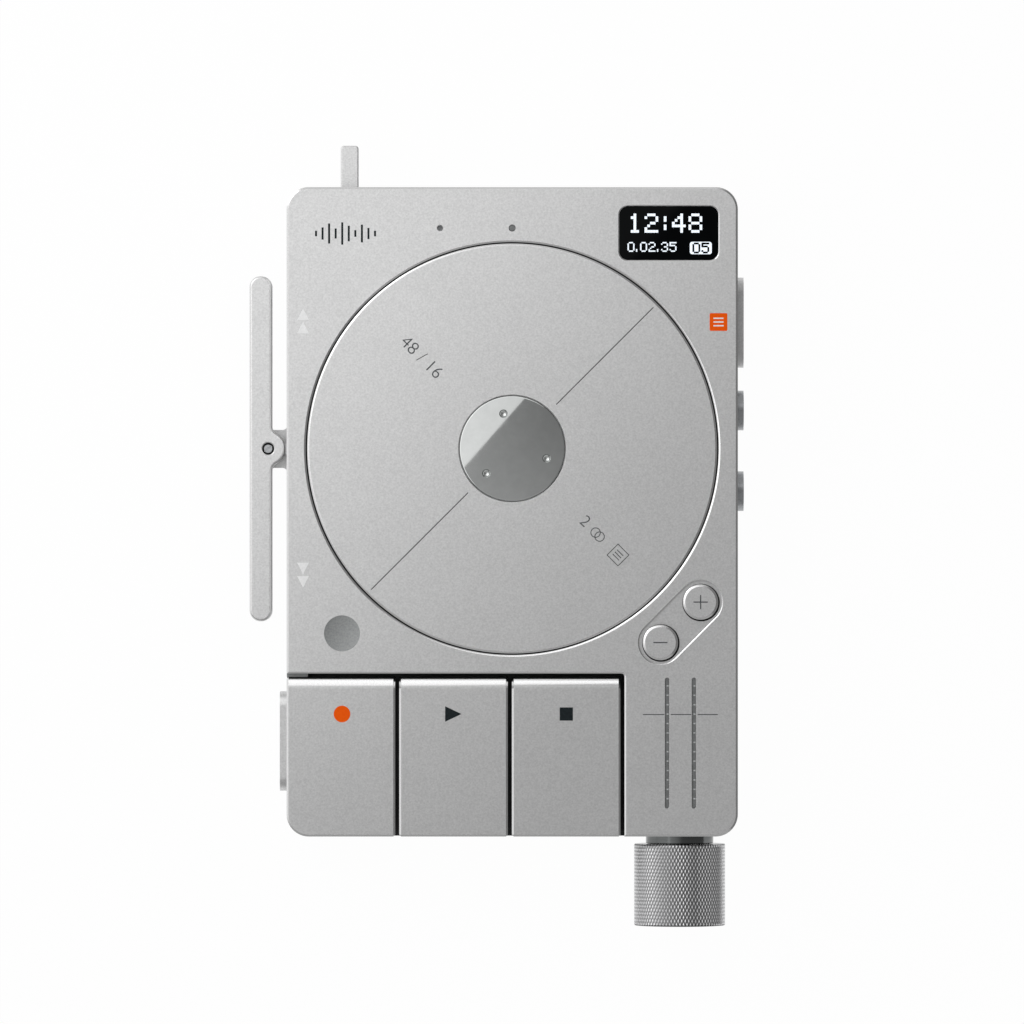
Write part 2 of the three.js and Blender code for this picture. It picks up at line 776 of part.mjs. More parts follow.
function motorBell() {
  const inner = motorRadius - bellThickness
  return turned([
    [spindleRadius + fitClearance, bellLow],
    [motorRadius, bellLow],
    [motorRadius, bellHigh],
    [inner, bellHigh],
    [inner, bellLow + bellThickness],
    [bellHubRadius, bellLow + bellThickness],
    [bellHubRadius, bellLow + bellThickness + bellHubHeight],
    [spindleRadius + fitClearance, bellLow + bellThickness + bellHubHeight],
    [spindleRadius + fitClearance, bellLow],
  ])
}

const magnetOuter = motorRadius - bellThickness - fitClearance
const magnetInner = magnetOuter - magnetThickness
const magnetLow = bellLow + magnetRise
const statorLow = magnetLow + statorInset / 2
const statorHigh = bellHigh - statorInset / 2
const ring = (inner, outer, low, high, sides) =>
  turned([[inner, low], [outer, low], [outer, high], [inner, high], [inner, low]], sides)

// Stator: a toothed ring whose tooth tips spread to face the magnets
function motorStator() {
  const inner = motorBossRadius + fitClearance
  const yoke = inner + statorYoke
  const outer = magnetInner - statorAirGap
  const tipStart = outer - toothTipDepth
  const tipHalf = (fullTurn * outer) / toothCount / 2 - toothTipGap / 2
  const tipFace = Math.sqrt(outer ** 2 - tipHalf ** 2)
  const core = ring(inner, yoke, statorLow, statorHigh, coarseSides)
  const tooth = new THREE.Shape([
    new THREE.Vector2(yoke - statorYoke / 2, -toothWidth / 2),
    new THREE.Vector2(tipStart - toothTipDepth, -toothWidth / 2),
    new THREE.Vector2(tipStart, -tipHalf),
    new THREE.Vector2(tipFace, -tipHalf),
    new THREE.Vector2(tipFace, tipHalf),
    new THREE.Vector2(tipStart, tipHalf),
    new THREE.Vector2(tipStart - toothTipDepth, toothWidth / 2),
    new THREE.Vector2(yoke - statorYoke / 2, toothWidth / 2),
  ])
  const teeth = Array.from({ length: toothCount }, (_, i) =>
    slab(tooth, statorLow, statorHigh).rotateZ((fullTurn * i) / toothCount))
  return join(core, ...teeth)
}

const bearing = (low) =>
  ring(spindleRadius + slideClearance / 2, bearingRadius, low, low + bearingLength, coarseSides)

piece(reel, 'reel_disc', reelDisc(), blastedAluminium)
piece(reel, 'reel_cap', reelCap(), polishedMetal)
piece(reel, 'reel_spindle', rod(spindleRadius, spindleLow, spindleHigh), steel)
piece(reel, 'upper_bearing', bearing(pocketFloor - fitClearance - bearingLength), steel)
piece(reel, 'lower_bearing', bearing(motorBossLow + fitClearance), steel)
piece(reel, 'motor_bell', motorBell(), steel)
piece(reel, 'motor_magnet', ring(magnetInner, magnetOuter, magnetLow, bellHigh, coarseSides), blackPlastic)
piece(reel, 'motor_stator', motorStator(), copper)

// A press switch on the board, with a well that the stem moves in
function pressSwitch(width, wellRadius) {
  const well = rod(wellRadius, boardTop + switchFloor, switchTop + overrun, smallSides)
  return cut(box(width, width, boardTop, switchTop), well)
}

// Keys: slabs with softened edges and a deep roll along the top edge
function keyOutline(carriesCorner) {
  const shape = new THREE.Shape()
  if (carriesCorner) {
    shape.absarc(bodyCornerRadius, bodyCornerRadius, bodyCornerRadius, halfTurn, halfTurn + quarterTurn)
  } else shape.moveTo(0, 0)
  shape.lineTo(keyWidth, 0)
  shape.lineTo(keyWidth, keyLength)
  shape.lineTo(0, keyLength)
  return shape
}

function keyRollProfile() {
  const shape = new THREE.Shape()
  shape.moveTo(-overrun, keyUnderside - overrun)
  shape.lineTo(keyLength, keyUnderside - overrun)
  shape.absarc(keyLength - keyRoll, bodyDepth - keyRoll, keyRoll, 0, quarterTurn)
  shape.lineTo(-overrun, bodyDepth)
  return shape
}

function key(carriesCorner) {
  const outline = softSlab(keyOutline(carriesCorner), keyUnderside, bodyDepth, keyBevel)
  const roll = slab(keyRollProfile(), -overrun, keyWidth + overrun, 2 * cornerSegments)
  const stem = rod(keyStemRadius, stemTip, keyUnderside + keyBevel, smallSides)
    .translate(keyWidth / 2, keyStemRise, 0)
  const lengthwise = new THREE.Matrix4().makeBasis(
    new THREE.Vector3(0, 1, 0), new THREE.Vector3(0, 0, 1), new THREE.Vector3(1, 0, 0))
  return join(common(outline, roll.applyMatrix4(lengthwise)), stem)
}

for (const { name, x, carriesCorner } of keyPlaces) {
  const place = groupAt(recorder, x, bottom, 0)
  piece(place, `${name}_key`, key(carriesCorner), blastedAluminium)
  const well = pressSwitch(keySwitchWidth, keyStemRadius + slideClearance)
  piece(groupAt(place, keyWidth / 2, keyStemRise, 0), `${name}_key_switch`, well, blackPlastic)
}

// Plus and minus buttons, each held behind the front wall by a lip
function volumeButton() {
  const high = bodyDepth + volumeButtonRise
  const lipHigh = frontUnderside - fitClearance
  const lipRadius = volumeButtonRadius + slideClearance + volumeButtonLip
  const cap = turned([
    [0, lipHigh - volumeButtonLip],
    [lipRadius, lipHigh - volumeButtonLip],
    [lipRadius, lipHigh],
    [volumeButtonRadius, lipHigh],
    [volumeButtonRadius, high - 2 * keyBevel],
    [volumeButtonRadius - keyBevel / 2, high - keyBevel / 2],
    [volumeButtonRadius - 2 * keyBevel, high],
    [0, high],
  ])
  return join(cap, rod(pressStemRadius, stemTip, lipHigh - volumeButtonLip / 2, smallSides))
}

for (const [name, x, y] of volumeButtons) {
  const place = groupAt(recorder, x, y, 0)
  const well = pressSwitch(volumeSwitchWidth, pressStemRadius + slideClearance)
  piece(place, `${name}_button`, volumeButton(), blastedAluminium)
  piece(place, `${name}_switch`, well, blackPlastic)
}

// Screen window on its ledge, and the display seated behind the front wall
const screen = groupAt(recorder, screenX, screenY, 0)
const windowPane = slab(
  roundedRectangle(screenWidth, screenHeight, screenCornerRadius), bodyDepth - screenThickness, bodyDepth)
piece(screen, 'screen_window', windowPane, blackGlass)
piece(screen, 'display_module', box(displayWidth, displayHeight, displayLow, frontUnderside), blackPlastic)

// Microphone behind its hole, and the light pipe that stands on the board
const microphone = cut(
  rod(microphoneRadius, frontUnderside - microphoneHeight, frontUnderside),
  rod(microphoneHoleRadius, frontUnderside - microphoneHeight / 2, frontUnderside + overrun, smallSides))
piece(groupAt(recorder, -microphoneFromCentre, topRowY, 0), 'microphone', microphone, steel)

const lightFlangeHigh = bodyDepth - lightFlangeDepth
const lightPipe = join(
  rod(lightRadius, boardTop + fitClearance, bodyDepth - fitClearance / 3, smallSides),
  rod(lightFlangeRadius, lightFlangeHigh - lightFlangeThickness, lightFlangeHigh, smallSides))
piece(groupAt(recorder, lightX, topRowY, 0), 'status_light_pipe', lightPipe, smokedPlastic)

// Level meters: two light guides, each with a rib in its slot, on a small board
function levelGuide() {
  const base = box(levelGuideWidth, levelLength, levelBoardHigh, frontUnderside)
  const rib = pill(levelSlotWidth - 2 * fitClearance, levelLength - 2 * fitClearance)
  return join(base, slab(rib, levelBoardHigh, bodyDepth - levelSink, roundSegments))
}

piece(groupAt(recorder, levelXs[0], levelY, 0), 'left_level_guide', levelGuide(), smokedPlastic)
piece(groupAt(recorder, levelXs[1], levelY, 0), 'right_level_guide', levelGuide(), smokedPlastic)
piece(groupAt(recorder, knobX, levelY, 0), 'level_board',
  box(levelBoardWidth, levelLength + 2 * stopClearance, levelBoardLow, levelBoardHigh),
  greenBoard)

// Volume knob. Its band has rings of points that stand high and low in turn, column by column,
// and every face is split along its low corners, which leaves crossed grooves between diamonds.
function knurledBarrel() {
  const rings = []
  const plain = (radius, height) => rings.push({ radius, height, knurled: false })
  plain(0, 0)
  plain(knobRadius - knobEdgeRound, 0)
  plain(knobRadius, knobEdgeRound)
  const bandLength = knobLength - 2 * knobRim
  for (let row = 0; row <= knurlRows; row += 1) {
    rings.push({ radius: knobRadius, height: knobRim + (bandLength * row) / knurlRows, knurled: true })
  }
  plain(knobRadius, knobLength - knobEdgeRound)
  plain(knobRadius - knobEdgeRound, knobLength)
  plain(0, knobLength)

  const isLow = (ringIndex, column) => rings[ringIndex].knurled && (ringIndex + column) % 2 === 1
  const positions = rings.flatMap(({ radius, height }, ringIndex) =>
    Array.from({ length: knurlColumns }, (_, column) => {
      const reach = isLow(ringIndex, column) ? radius - knurlDepth : radius
      const angle = (fullTurn * column) / knurlColumns
      return [reach * Math.cos(angle), reach * Math.sin(angle), height]
    }).flat())
  const indices = []
  for (let ringIndex = 0; ringIndex < rings.length - 1; ringIndex += 1) {
    for (let column = 0; column < knurlColumns; column += 1) {
      const a = ringIndex * knurlColumns + column
      const b = ringIndex * knurlColumns + ((column + 1) % knurlColumns)
      const [c, d] = [b + knurlColumns, a + knurlColumns]
      if (isLow(ringIndex, column)) indices.push(a, b, c, a, c, d)
      else indices.push(a, b, d, b, c, d)
    }
  }
  const geometry = new THREE.BufferGeometry()
  geometry.setAttribute('position', new THREE.Float32BufferAttribute(positions, 3))
  geometry.setIndex(indices)
  return geometry
}

const knobPlace = groupAt(recorder, knobX, bottom, middleDepth)
const knobNear = -collarThickness - knobGap
const boreEnd = knobNear - knobBoreDepth
const encoderFace = encoderFront - bottom

function volumeKnob() {
  const bore = rod(shaftRadius + fitClearance, boreEnd, knobNear + overrun)
  return cut(alongY(knurledBarrel()).translate(0, knobNear - knobLength, 0), alongY(bore))
}

function volumeBushing() {
  const flange = rod(collarRadius, -collarThickness, 0, middleSides)
  const sleeve = rod(bushingRadius, -collarThickness, encoderFace)
  const bore = rod(shaftRadius + slideClearance, -collarThickness - overrun, encoderFace + overrun)
  return cut(join(flange, sleeve), bore)
}

function volumeEncoder() {
  const body = new THREE.BoxGeometry(encoderWidth, encoderHeight, encoderLength)
    .translate(0, 0, encoderFace + encoderLength / 2)
  const wellEnd = encoderFace + shaftEngagement + stopClearance
  return cut(body, rod(shaftRadius + slideClearance, encoderFace - overrun, wellEnd))
}

const volumeShaft = () => rod(shaftRadius, boreEnd + fitClearance, encoderFace + shaftEngagement)

piece(knobPlace, 'volume_knob', volumeKnob(), knurledMetal)
piece(knobPlace, 'volume_shaft', alongY(volumeShaft()), steel)
piece(knobPlace, 'volume_bushing', alongY(surface(volumeBushing())), polishedMetal)
piece(knobPlace, 'volume_encoder', alongY(surface(volumeEncoder())), blackPlastic)

// Rocker lever: a long bar with a round hub that swells towards the body, joined to it by fillets
const rockerPlace = groupAt(recorder, pivotX, reelY, 0)
const barX = rockerX - pivotX

function rockerOutline() {
  const halfWidth = rockerWidth / 2
  const halfLength = rockerLength / 2 - halfWidth
  const innerEdge = barX + halfWidth
  const filletX = innerEdge + rockerFillet
  const reach = rockerHubRadius + rockerFillet
  const filletY = Math.sqrt(reach ** 2 - filletX ** 2)
  const angle = Math.atan2(filletY, filletX)
  const shape = new THREE.Shape()
  shape.absarc(barX, halfLength, halfWidth, 0, halfTurn)
  shape.absarc(barX, -halfLength, halfWidth, halfTurn, fullTurn)
  shape.absarc(filletX, -filletY, rockerFillet, halfTurn, halfTurn - angle, true)
  shape.absarc(0, 0, rockerHubRadius, -angle, angle)
  shape.absarc(filletX, filletY, rockerFillet, halfTurn + angle, halfTurn, true)
  return shape
}

function rockerLever() {
  const bar = softSlab(rockerOutline(), rockerLow, rockerHigh, rockerEdgeRound)
  const finger = new THREE.BoxGeometry(fingerLength, fingerWidth, fingerHeight)
    .translate(fingerLength / 2, 0, middleDepth)
  const headLow = rockerHigh - pivotHeadHeight - 2 * fitClearance
  return cut(
    join(bar, finger),
    rod(pivotScrewRadius + slideClearance, rockerLow - overrun, rockerHigh, smallSides),
    rod(pivotHeadRadius + pivotCounterbore, headLow - fitClearance, rockerHigh + overrun))
}

function rockerBracket() {
  const wallX = left - pivotX
  const half = bracketWidth / 2
  const shape = new THREE.Shape()
  shape.moveTo(wallX, -half - bracketFlare)
  shape.lineTo(wallX, half + bracketFlare)
  shape.absarc(wallX - bracketFlare, half + bracketFlare, bracketFlare, 0, -quarterTurn, true)
  shape.absarc(wallX - bracketReach + bracketCornerRadius, half - bracketCornerRadius,
    bracketCornerRadius, quarterTurn, halfTurn)
  shape.absarc(wallX - bracketReach + bracketCornerRadius, -half + bracketCornerRadius,
    bracketCornerRadius, halfTurn, halfTurn + quarterTurn)
  shape.absarc(wallX - bracketFlare, -half - bracketFlare, bracketFlare, quarterTurn, 0, true)
  const tenon = box(2 * sideWall, tenonWidth, bracketLow + tenonInset, bracketHigh - tenonInset)
  return cut(
    join(slab(shape, bracketLow, bracketHigh), tenon.translate(wallX, 0, 0)),
    rod(pivotScrewRadius + fitClearance, bracketLow + tenonInset, bracketHigh + overrun, smallSides))
}

function pivotScrew() {
  const headHigh = rockerHigh - fitClearance
  const headLow = headHigh - pivotHeadHeight
  const shankLow = bracketLow + 2 * tenonInset
  const shank = rod(pivotScrewRadius, shankLow, headHigh - pivotHeadHeight / 2, smallSides)
  const slot = new THREE.BoxGeometry(2 * pivotHeadRadius + overrun, pivotScrewRadius / 2, pivotHeadHeight)
    .translate(0, 0, headHigh)
  return cut(join(rod(pivotHeadRadius, headLow, headHigh), shank), slot)
}

function rockerSwitch() {
  const reach = fingerLength - fingerEngagement
  const halfSlot = fingerWidth / 2 + fingerLength * swing + stopClearance
  const width = 2 * (halfSlot + 1.5 * switchFloor)
  const length = fingerEngagement + stopClearance + 2 * switchFloor
  const high = middleDepth + fingerHeight / 2 + stopClearance
  const slotLow = middleDepth - fingerHeight / 2 - stopClearance
  const slot = box(fingerEngagement + stopClearance + overrun, 2 * halfSlot, slotLow, high + overrun)
  return cut(
    box(length, width, boardTop, high).translate(reach + length / 2, 0, 0),
    slot.translate(reach + (fingerEngagement + stopClearance - overrun) / 2, 0, 0))
}

piece(rockerPlace, 'rocker_lever', rockerLever(), blastedAluminium)
piece(rockerPlace, 'rocker_bracket', rockerBracket(), blastedAluminium)
piece(rockerPlace, 'rocker_pivot_screw', pivotScrew(), steel)
piece(rockerPlace, 'rocker_switch', rockerSwitch(), blackPlastic)

// Side buttons: made to face +X from the wall's outer face, and turned about for the left side
const sideSwitchFace = -(sideWall + fitClearance + sideLipThickness + sideTravel + stopClearance)
function sideButton({ length, height, drop, proud }) {
  const lipHigh = -sideWall - fitClearance
  const lipLow = lipHigh - sideLipThickness
  const inside = lipHigh - sideLipThickness / 2
  const cap = softSlab(pill(height, length), inside - sideButtonRound, proud, sideButtonRound)
  const lipMargin = 2 * (sideLip + slideClearance)
  const lip = slab(pill(height + lipMargin, length + lipMargin), lipLow, lipHigh, roundSegments)
  const stem = rod(pressStemRadius, sideSwitchFace - stemEngagement, inside, smallSides)
  return join(alongX(cap).translate(0, 0, -drop), alongX(lip).translate(0, 0, -drop), alongX(stem))
}

function sideSwitch() {
  const height = 2 * (middleDepth - boardTop)
  const body = new THREE.BoxGeometry(sideSwitchLength, sideSwitchWidth, height)
    .translate(sideSwitchFace - sideSwitchLength / 2, 0, 0)
  const wellLow = sideSwitchFace - stemEngagement - sideTravel - stopClearance
  const well = rod(pressStemRadius + slideClearance, wellLow, sideSwitchFace + overrun, smallSides)
  return cut(body, alongX(well))
}

for (const button of sideButtons) {
  const place = groupAt(recorder, button.side * right, button.y, middleDepth)
  place.rotation.z = button.side > 0 ? 0 : halfTurn
  const suffix = button.name === 'left_side' ? 'key' : 'button'
  piece(place, `${button.name}_${suffix}`, sideButton(button), blastedAluminium)
  piece(place, `${button.name}_switch`, sideSwitch(), blackPlastic)
}

// Mode lever: a flat paddle on a round root, which tips on two pins in its switch
const modePlace = groupAt(recorder, modeX, top - modePivotDepth, middleDepth)
function modeLever() {
  const length = modePivotDepth + modeProtrusion
  const paddle = softSlab(roundedRectangle(modeWidth, length, modeCornerRadius),
    -modeThickness / 2, modeThickness / 2, modeCornerRadius / 2)
  const root = alongX(rod(modeRootRadius, -modeWidth / 2, modeWidth / 2))
  const pin = alongX(rod(modePinRadius, -modePinLength / 2, modePinLength / 2, smallSides))
  return join(paddle.translate(0, length / 2, 0), root, pin)
}

function modeSwitch() {
  const slotWidth = modeWidth + 2 * slideClearance
  const high = modeRootRadius + stopClearance
  const back = -modeRootRadius - stopClearance
  const front = back - 2 * switchFloor + modeSwitchLength
  const low = boardTop - middleDepth
  const body = box(modeSwitchWidth, modeSwitchLength, low, high)
    .translate(0, front - modeSwitchLength / 2, 0)
  const slot = box(slotWidth, modeSwitchLength + overrun, -modeRootRadius - slideClearance, high + overrun)
    .translate(0, back + (modeSwitchLength + overrun) / 2, 0)
  const pinHole = alongX(rod(modePinRadius + slideClearance, -modePinLength / 2 - slideClearance,
    modePinLength / 2 + slideClearance, smallSides))
  return cut(body, slot, pinHole)
}

piece(modePlace, 'mode_lever', modeLever(), blastedAluminium)
piece(modePlace, 'mode_switch', modeSwitch(), blackPlastic)

// Sockets in the top edge. Each body stands against the wall and its mouth passes through it.
function audioJack() {
  const mouth = sideWall - socketProud
  const body = new THREE.BoxGeometry(jackWidth, jackHeight, jackLength).translate(0, 0, -jackLength / 2)
  const nose = rod(jackNoseRadius, -sideWall, mouth)
  const bore = rod(jackBoreRadius, -jackLength + sideWall, mouth + overrun)
  return alongY(surface(cut(join(body, nose), bore)))
}

function usbSocket() {
  const mouth = sideWall - socketProud
  const back = mouth - usbLength
  const shell = slab(pill(usbWidth, usbHeight), back, mouth)
  const hollowShape = pill(usbWidth - 2 * usbShell, usbHeight - 2 * usbShell)
  const tongue = new THREE.BoxGeometry(usbTongueWidth, usbTongueThickness, usbTongueLength + usbShell)
    .translate(0, 0, back + (usbTongueLength + usbShell) / 2 + usbShell / 2)
  return alongY(surface(join(cut(shell, slab(hollowShape, back + usbShell, mouth + overrun)), tongue)))
}

jackPlaces.forEach((x, i) => {
  piece(groupAt(recorder, x, top - sideWall, middleDepth), `audio_jack_${i + 1}`, audioJack(), blackPlastic)
})
piece(groupAt(recorder, usbX, top - sideWall, middleDepth), 'usb_socket', usbSocket(), steel)

export default recorder
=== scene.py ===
# %% [markdown]
# # A pocket audio recorder
# The recorder lies on its back on a pale table: a blasted aluminium block with a motor-driven reel
# sunk into its face, three long keys, a small glass screen and a knurled volume knob.
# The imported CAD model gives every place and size. This lesson dresses it: sharper copies of the
# visible pieces, their finishes, the printed marks, the camera and the light. Lengths are written in
# millimetres: MM turns them to metres, PX is one pixel's width in a picture of the front that is 1024
# pixels wide, and FILM is the thickness of a printed mark.

# %% Load the frame
import math
import bmesh
import bpy
from mathutils import Matrix, Vector


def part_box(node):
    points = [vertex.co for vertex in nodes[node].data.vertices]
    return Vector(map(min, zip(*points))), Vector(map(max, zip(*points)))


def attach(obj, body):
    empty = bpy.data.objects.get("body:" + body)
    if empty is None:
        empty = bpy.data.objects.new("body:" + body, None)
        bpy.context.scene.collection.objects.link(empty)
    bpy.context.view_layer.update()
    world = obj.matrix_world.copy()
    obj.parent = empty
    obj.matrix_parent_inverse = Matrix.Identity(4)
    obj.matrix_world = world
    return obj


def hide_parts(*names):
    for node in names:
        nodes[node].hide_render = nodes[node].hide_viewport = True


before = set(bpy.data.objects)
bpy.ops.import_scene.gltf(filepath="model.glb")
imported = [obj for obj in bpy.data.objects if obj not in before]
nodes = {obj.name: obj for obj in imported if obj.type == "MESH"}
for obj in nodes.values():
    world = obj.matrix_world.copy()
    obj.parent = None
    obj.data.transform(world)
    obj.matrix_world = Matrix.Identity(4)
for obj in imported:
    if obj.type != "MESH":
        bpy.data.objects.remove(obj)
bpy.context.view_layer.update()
MM, PX, FILM = 0.001, 0.14779, 0.012

# %% [markdown]
# Sizes come straight from the frame. Each box below is measured from its CAD node, in millimetres,
# so that a sharper piece lands exactly where the plain one was.

# %% Measure the pieces
def span(node):
    """The lowest and highest corner of a CAD node in millimetres."""
    low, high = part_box(node)
    return low / MM, high / MM


def centre(node):
    low, high = span(node)
    return (low + high) / 2


body_low, body_high = span("front_housing")
FACE = body_high.z
LEFT, RIGHT = body_low.x, body_high.x
BOTTOM, TOP = body_low.y, body_high.y
MIDDLE = FACE / 2
reel = centre("reel_disc")
print(f"body {RIGHT - LEFT:.1f} x {TOP - BOTTOM:.1f} x {FACE:.1f} mm, reel at y {reel.y:.2f}")

# %% [markdown]
# Every shape starts from a bmesh operator: a circle, a cube or a few points that are spun, extruded
# and bevelled. These helpers hold the steps that come back again and again. A slab is a cube with
# its upright edges rounded. Rolling a face off rounds the end of a piece along a quarter circle, and
# a flare slants the mouth of a cutting tool outwards, so that its hole gets a cut rim. A corner just
# under half of a slab's width makes its ends half rounds.

# %% Shape helpers
HALF_ROUND, QUARTER = 0.4999, math.pi / 2


def slab(width, length, low, high, corner, corner_steps=12, at=(0, 0)):
    """A block with rounded upright edges, standing between two heights."""
    bm = bmesh.new()
    bmesh.ops.create_cube(bm, size=1)
    bmesh.ops.scale(bm, vec=(width, length, high - low), verts=bm.verts)
    bmesh.ops.translate(bm, vec=(at[0], at[1], (low + high) / 2), verts=bm.verts)
    if corner:
        upright = [e for e in bm.edges if abs(e.verts[0].co.z - e.verts[1].co.z) > 0.01]
        round_edges(bm, upright, corner, corner_steps)
    return bm


def round_edges(bm, edges, radius, steps):
    bmesh.ops.bevel(bm, geom=edges, offset=radius, offset_type="OFFSET", affect="EDGES",
                    segments=steps, profile=0.5, material=-1, clamp_overlap=True)


def disc(radius, low, high, sides=96, at=(0, 0)):
    """A round plug between two heights."""
    bm = bmesh.new()
    bmesh.ops.create_cone(bm, cap_ends=True, segments=sides, radius1=radius, radius2=radius,
                          depth=high - low)
    bmesh.ops.translate(bm, vec=(at[0], at[1], (low + high) / 2), verts=bm.verts)
    return bm


def rim(bm, height):
    """The edges of a shape's outline at one height."""
    return [e for e in bm.edges
            if all(abs(v.co.z - height) < 1e-4 for v in e.verts) and e.calc_face_angle(0) > 0.5]


def roll_off(bm, face, radius, steps):
    """Takes a face outwards and its rim inwards, along a quarter circle."""
    for step in range(steps):
        before, after = (quarter * math.pi / 2 / steps for quarter in (step, step + 1))
        bmesh.ops.inset_individual(
            bm, faces=[face], use_even_offset=True,
            thickness=radius * (math.cos(before) - math.cos(after)),
            depth=radius * (math.sin(after) - math.sin(before)))


def flare(bm, width, depth, rise=1.0):
    """Widens the top of a cutting tool by a slanted rim, and then takes it on upwards."""
    cap = max(bm.faces, key=lambda face: (face.normal.z > 0.9) * face.calc_center_median().z)
    bmesh.ops.inset_individual(bm, faces=[cap], use_even_offset=True, thickness=-width, depth=depth)
    raised = bmesh.ops.extrude_face_region(bm, geom=[cap])["geom"]
    lifted = [item for item in raised if isinstance(item, bmesh.types.BMVert)]
    bmesh.ops.translate(bm, vec=(0, 0, rise), verts=lifted)
    bmesh.ops.delete(bm, geom=[cap], context="FACES")
    return bm


def arc(x, y, radius, start, end, steps=12):
    """Points along part of a circle, both ends included."""
    turns = [start + (end - start) * step / steps for step in range(steps + 1)]
    return [(x + radius * math.cos(turn), y + radius * math.sin(turn)) for turn in turns]


def pillow(points, low, high, edge, steps=5):
    """An upright prism of an outline between two heights, with both its rims rounded."""
    bm = bmesh.new()
    floor = bm.faces.new([bm.verts.new((x, y, low + edge)) for x, y in points])
    floor.normal_update()
    raised = bmesh.ops.extrude_face_region(bm, geom=[floor], use_keep_orig=True)["geom"]
    lid = next(item for item in raised if isinstance(item, bmesh.types.BMFace))
    bmesh.ops.translate(bm, vec=(0, 0, high - low - 2 * edge), verts=lid.verts)
    bmesh.ops.reverse_faces(bm, faces=[floor])
    bm.normal_update()
    for face in (lid, floor):
        roll_off(bm, face, edge, steps)
    return bm


def spun(profile, sides=128):
    """A closed shape of revolution about Z, from [radius, height] points that start and end on the axis."""
    bm = bmesh.new()
    points = [bm.verts.new((radius, 0, height)) for radius, height in profile]
    lines = [bm.edges.new(pair) for pair in zip(points, points[1:])]
    bmesh.ops.spin(bm, geom=points + lines, cent=(0, 0, 0), axis=(0, 0, 1), dvec=(0, 0, 0),
                   angle=math.tau, steps=sides, use_merge=True)
    bmesh.ops.remove_doubles(bm, verts=bm.verts, dist=1e-4)
    bmesh.ops.recalc_face_normals(bm, faces=bm.faces)
    return bm


def moved(bm, x=0, y=0, z=0, turn=0, axis="Z"):
    """The shape, turned about an axis through the origin and then shifted."""
    if turn:
        bmesh.ops.rotate(bm, cent=(0, 0, 0), matrix=Matrix.Rotation(turn, 3, axis), verts=bm.verts)
    bmesh.ops.translate(bm, vec=(x, y, z), verts=bm.verts)
    return bm


# %% [markdown]
# Cutting one shape out of another is what a milling tool does, and Blender's Boolean modifier does
# the same. The tools are gathered into one object, the modifier is evaluated at once, and only its
# result is kept, so nothing hangs on the finished piece.

# %% Cutting and joining
def block_object(bm, name):
    mesh = bpy.data.meshes.new(name)
    bmesh.ops.recalc_face_normals(bm, faces=bm.faces)
    bm.to_mesh(mesh)
    bm.free()
    thing = bpy.data.objects.new(name, mesh)
    bpy.context.scene.collection.objects.link(thing)
    return thing


def combined(shape, others, operation="DIFFERENCE"):
    """The shape with others cut out of it, or joined to it, as a new bmesh."""
    base = block_object(shape, "shape")
    helpers = [base]
    for index, other in enumerate(others):
        tool = block_object(other, f"tool_{index}")
        step = base.modifiers.new("cut", "BOOLEAN")
        step.operation, step.solver, step.object = operation, "EXACT", tool
        helpers.append(tool)
    graph = bpy.context.evaluated_depsgraph_get()
    result = bmesh.new()
    result.from_mesh(base.evaluated_get(graph).to_mesh())
    for helper in helpers:
        mesh = helper.data
        bpy.data.objects.remove(helper)
        bpy.data.meshes.remove(mesh)
    bmesh.ops.remove_doubles(result, verts=result.verts, dist=1e-4)
    return result


# %% [markdown]
# A finished piece goes from millimetres to metres, gets its material, and is shaded smooth with
# every edge over a chosen angle kept sharp. Weighted normals let the broad faces stay flat and give
# all the roundness to the narrow bevels. The piece rides on its CAD body and stands for its CAD node.

# %% Finishing a piece
def finished(bm, name, material, body="housing", node=None, sharp=26,
             recalc=True):
    if recalc:
        bmesh.ops.recalc_face_normals(bm, faces=bm.faces)
    bmesh.ops.scale(bm, vec=(MM, MM, MM), verts=bm.verts)
    mesh = bpy.data.meshes.new(name)
    faces = len(bm.faces)
    bm.to_mesh(mesh)
    bm.free()
    for one in (material if isinstance(material, list) else [material]):
        mesh.materials.append(one)
    mesh.shade_smooth()
    mesh.set_sharp_from_angle(angle=math.radians(sharp))
    piece = bpy.data.objects.new(name, mesh)
    bpy.context.scene.collection.objects.link(piece)
    weighted = piece.modifiers.new("weighted_normals", "WEIGHTED_NORMAL")
    weighted.keep_sharp, weighted.weight = True, 100
    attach(piece, body)
    if node:
        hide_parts(*([node] if isinstance(node, str) else node))
    print(f"{name}: {faces} faces on {body}")
    return piece


def softened(node, name, material, body="housing", edge=0.12, sharp=40,
             steps=2, chosen=lambda middle: True):
    """A copy of a CAD node with its flat faces merged and its sharp edges rounded."""
    bm = bmesh.new()
    bm.from_mesh(nodes[node].data)
    bmesh.ops.scale(bm, vec=(1 / MM, 1 / MM, 1 / MM), verts=bm.verts)
    bmesh.ops.remove_doubles(bm, verts=bm.verts, dist=0.002)
    bmesh.ops.dissolve_limit(bm, angle_limit=math.radians(1), verts=bm.verts, edges=bm.edges)
    if edge:
        hard = [e for e in bm.edges if e.calc_face_angle(0) > math.radians(sharp)
                and chosen((e.verts[0].co + e.verts[1].co) / 2)]
        round_edges(bm, hard, edge, steps)
    return finished(bm, name, material, body, node, recalc=False)


# %% [markdown]
# ## Finishes
# Colours are written as sRGB, as a colour picker shows them, and turned to linear values by one
# function. One small function adds a shader node with its settings and links.

# %% Colour and shader helpers
def linear(hex_colour, alpha=1.0):
    parts = [int(hex_colour[i:i + 2], 16) / 255 for i in (1, 3, 5)]
    return (*[p / 12.92 if p <= 0.04045 else ((p + 0.055) / 1.055) ** 2.4 for p in parts], alpha)


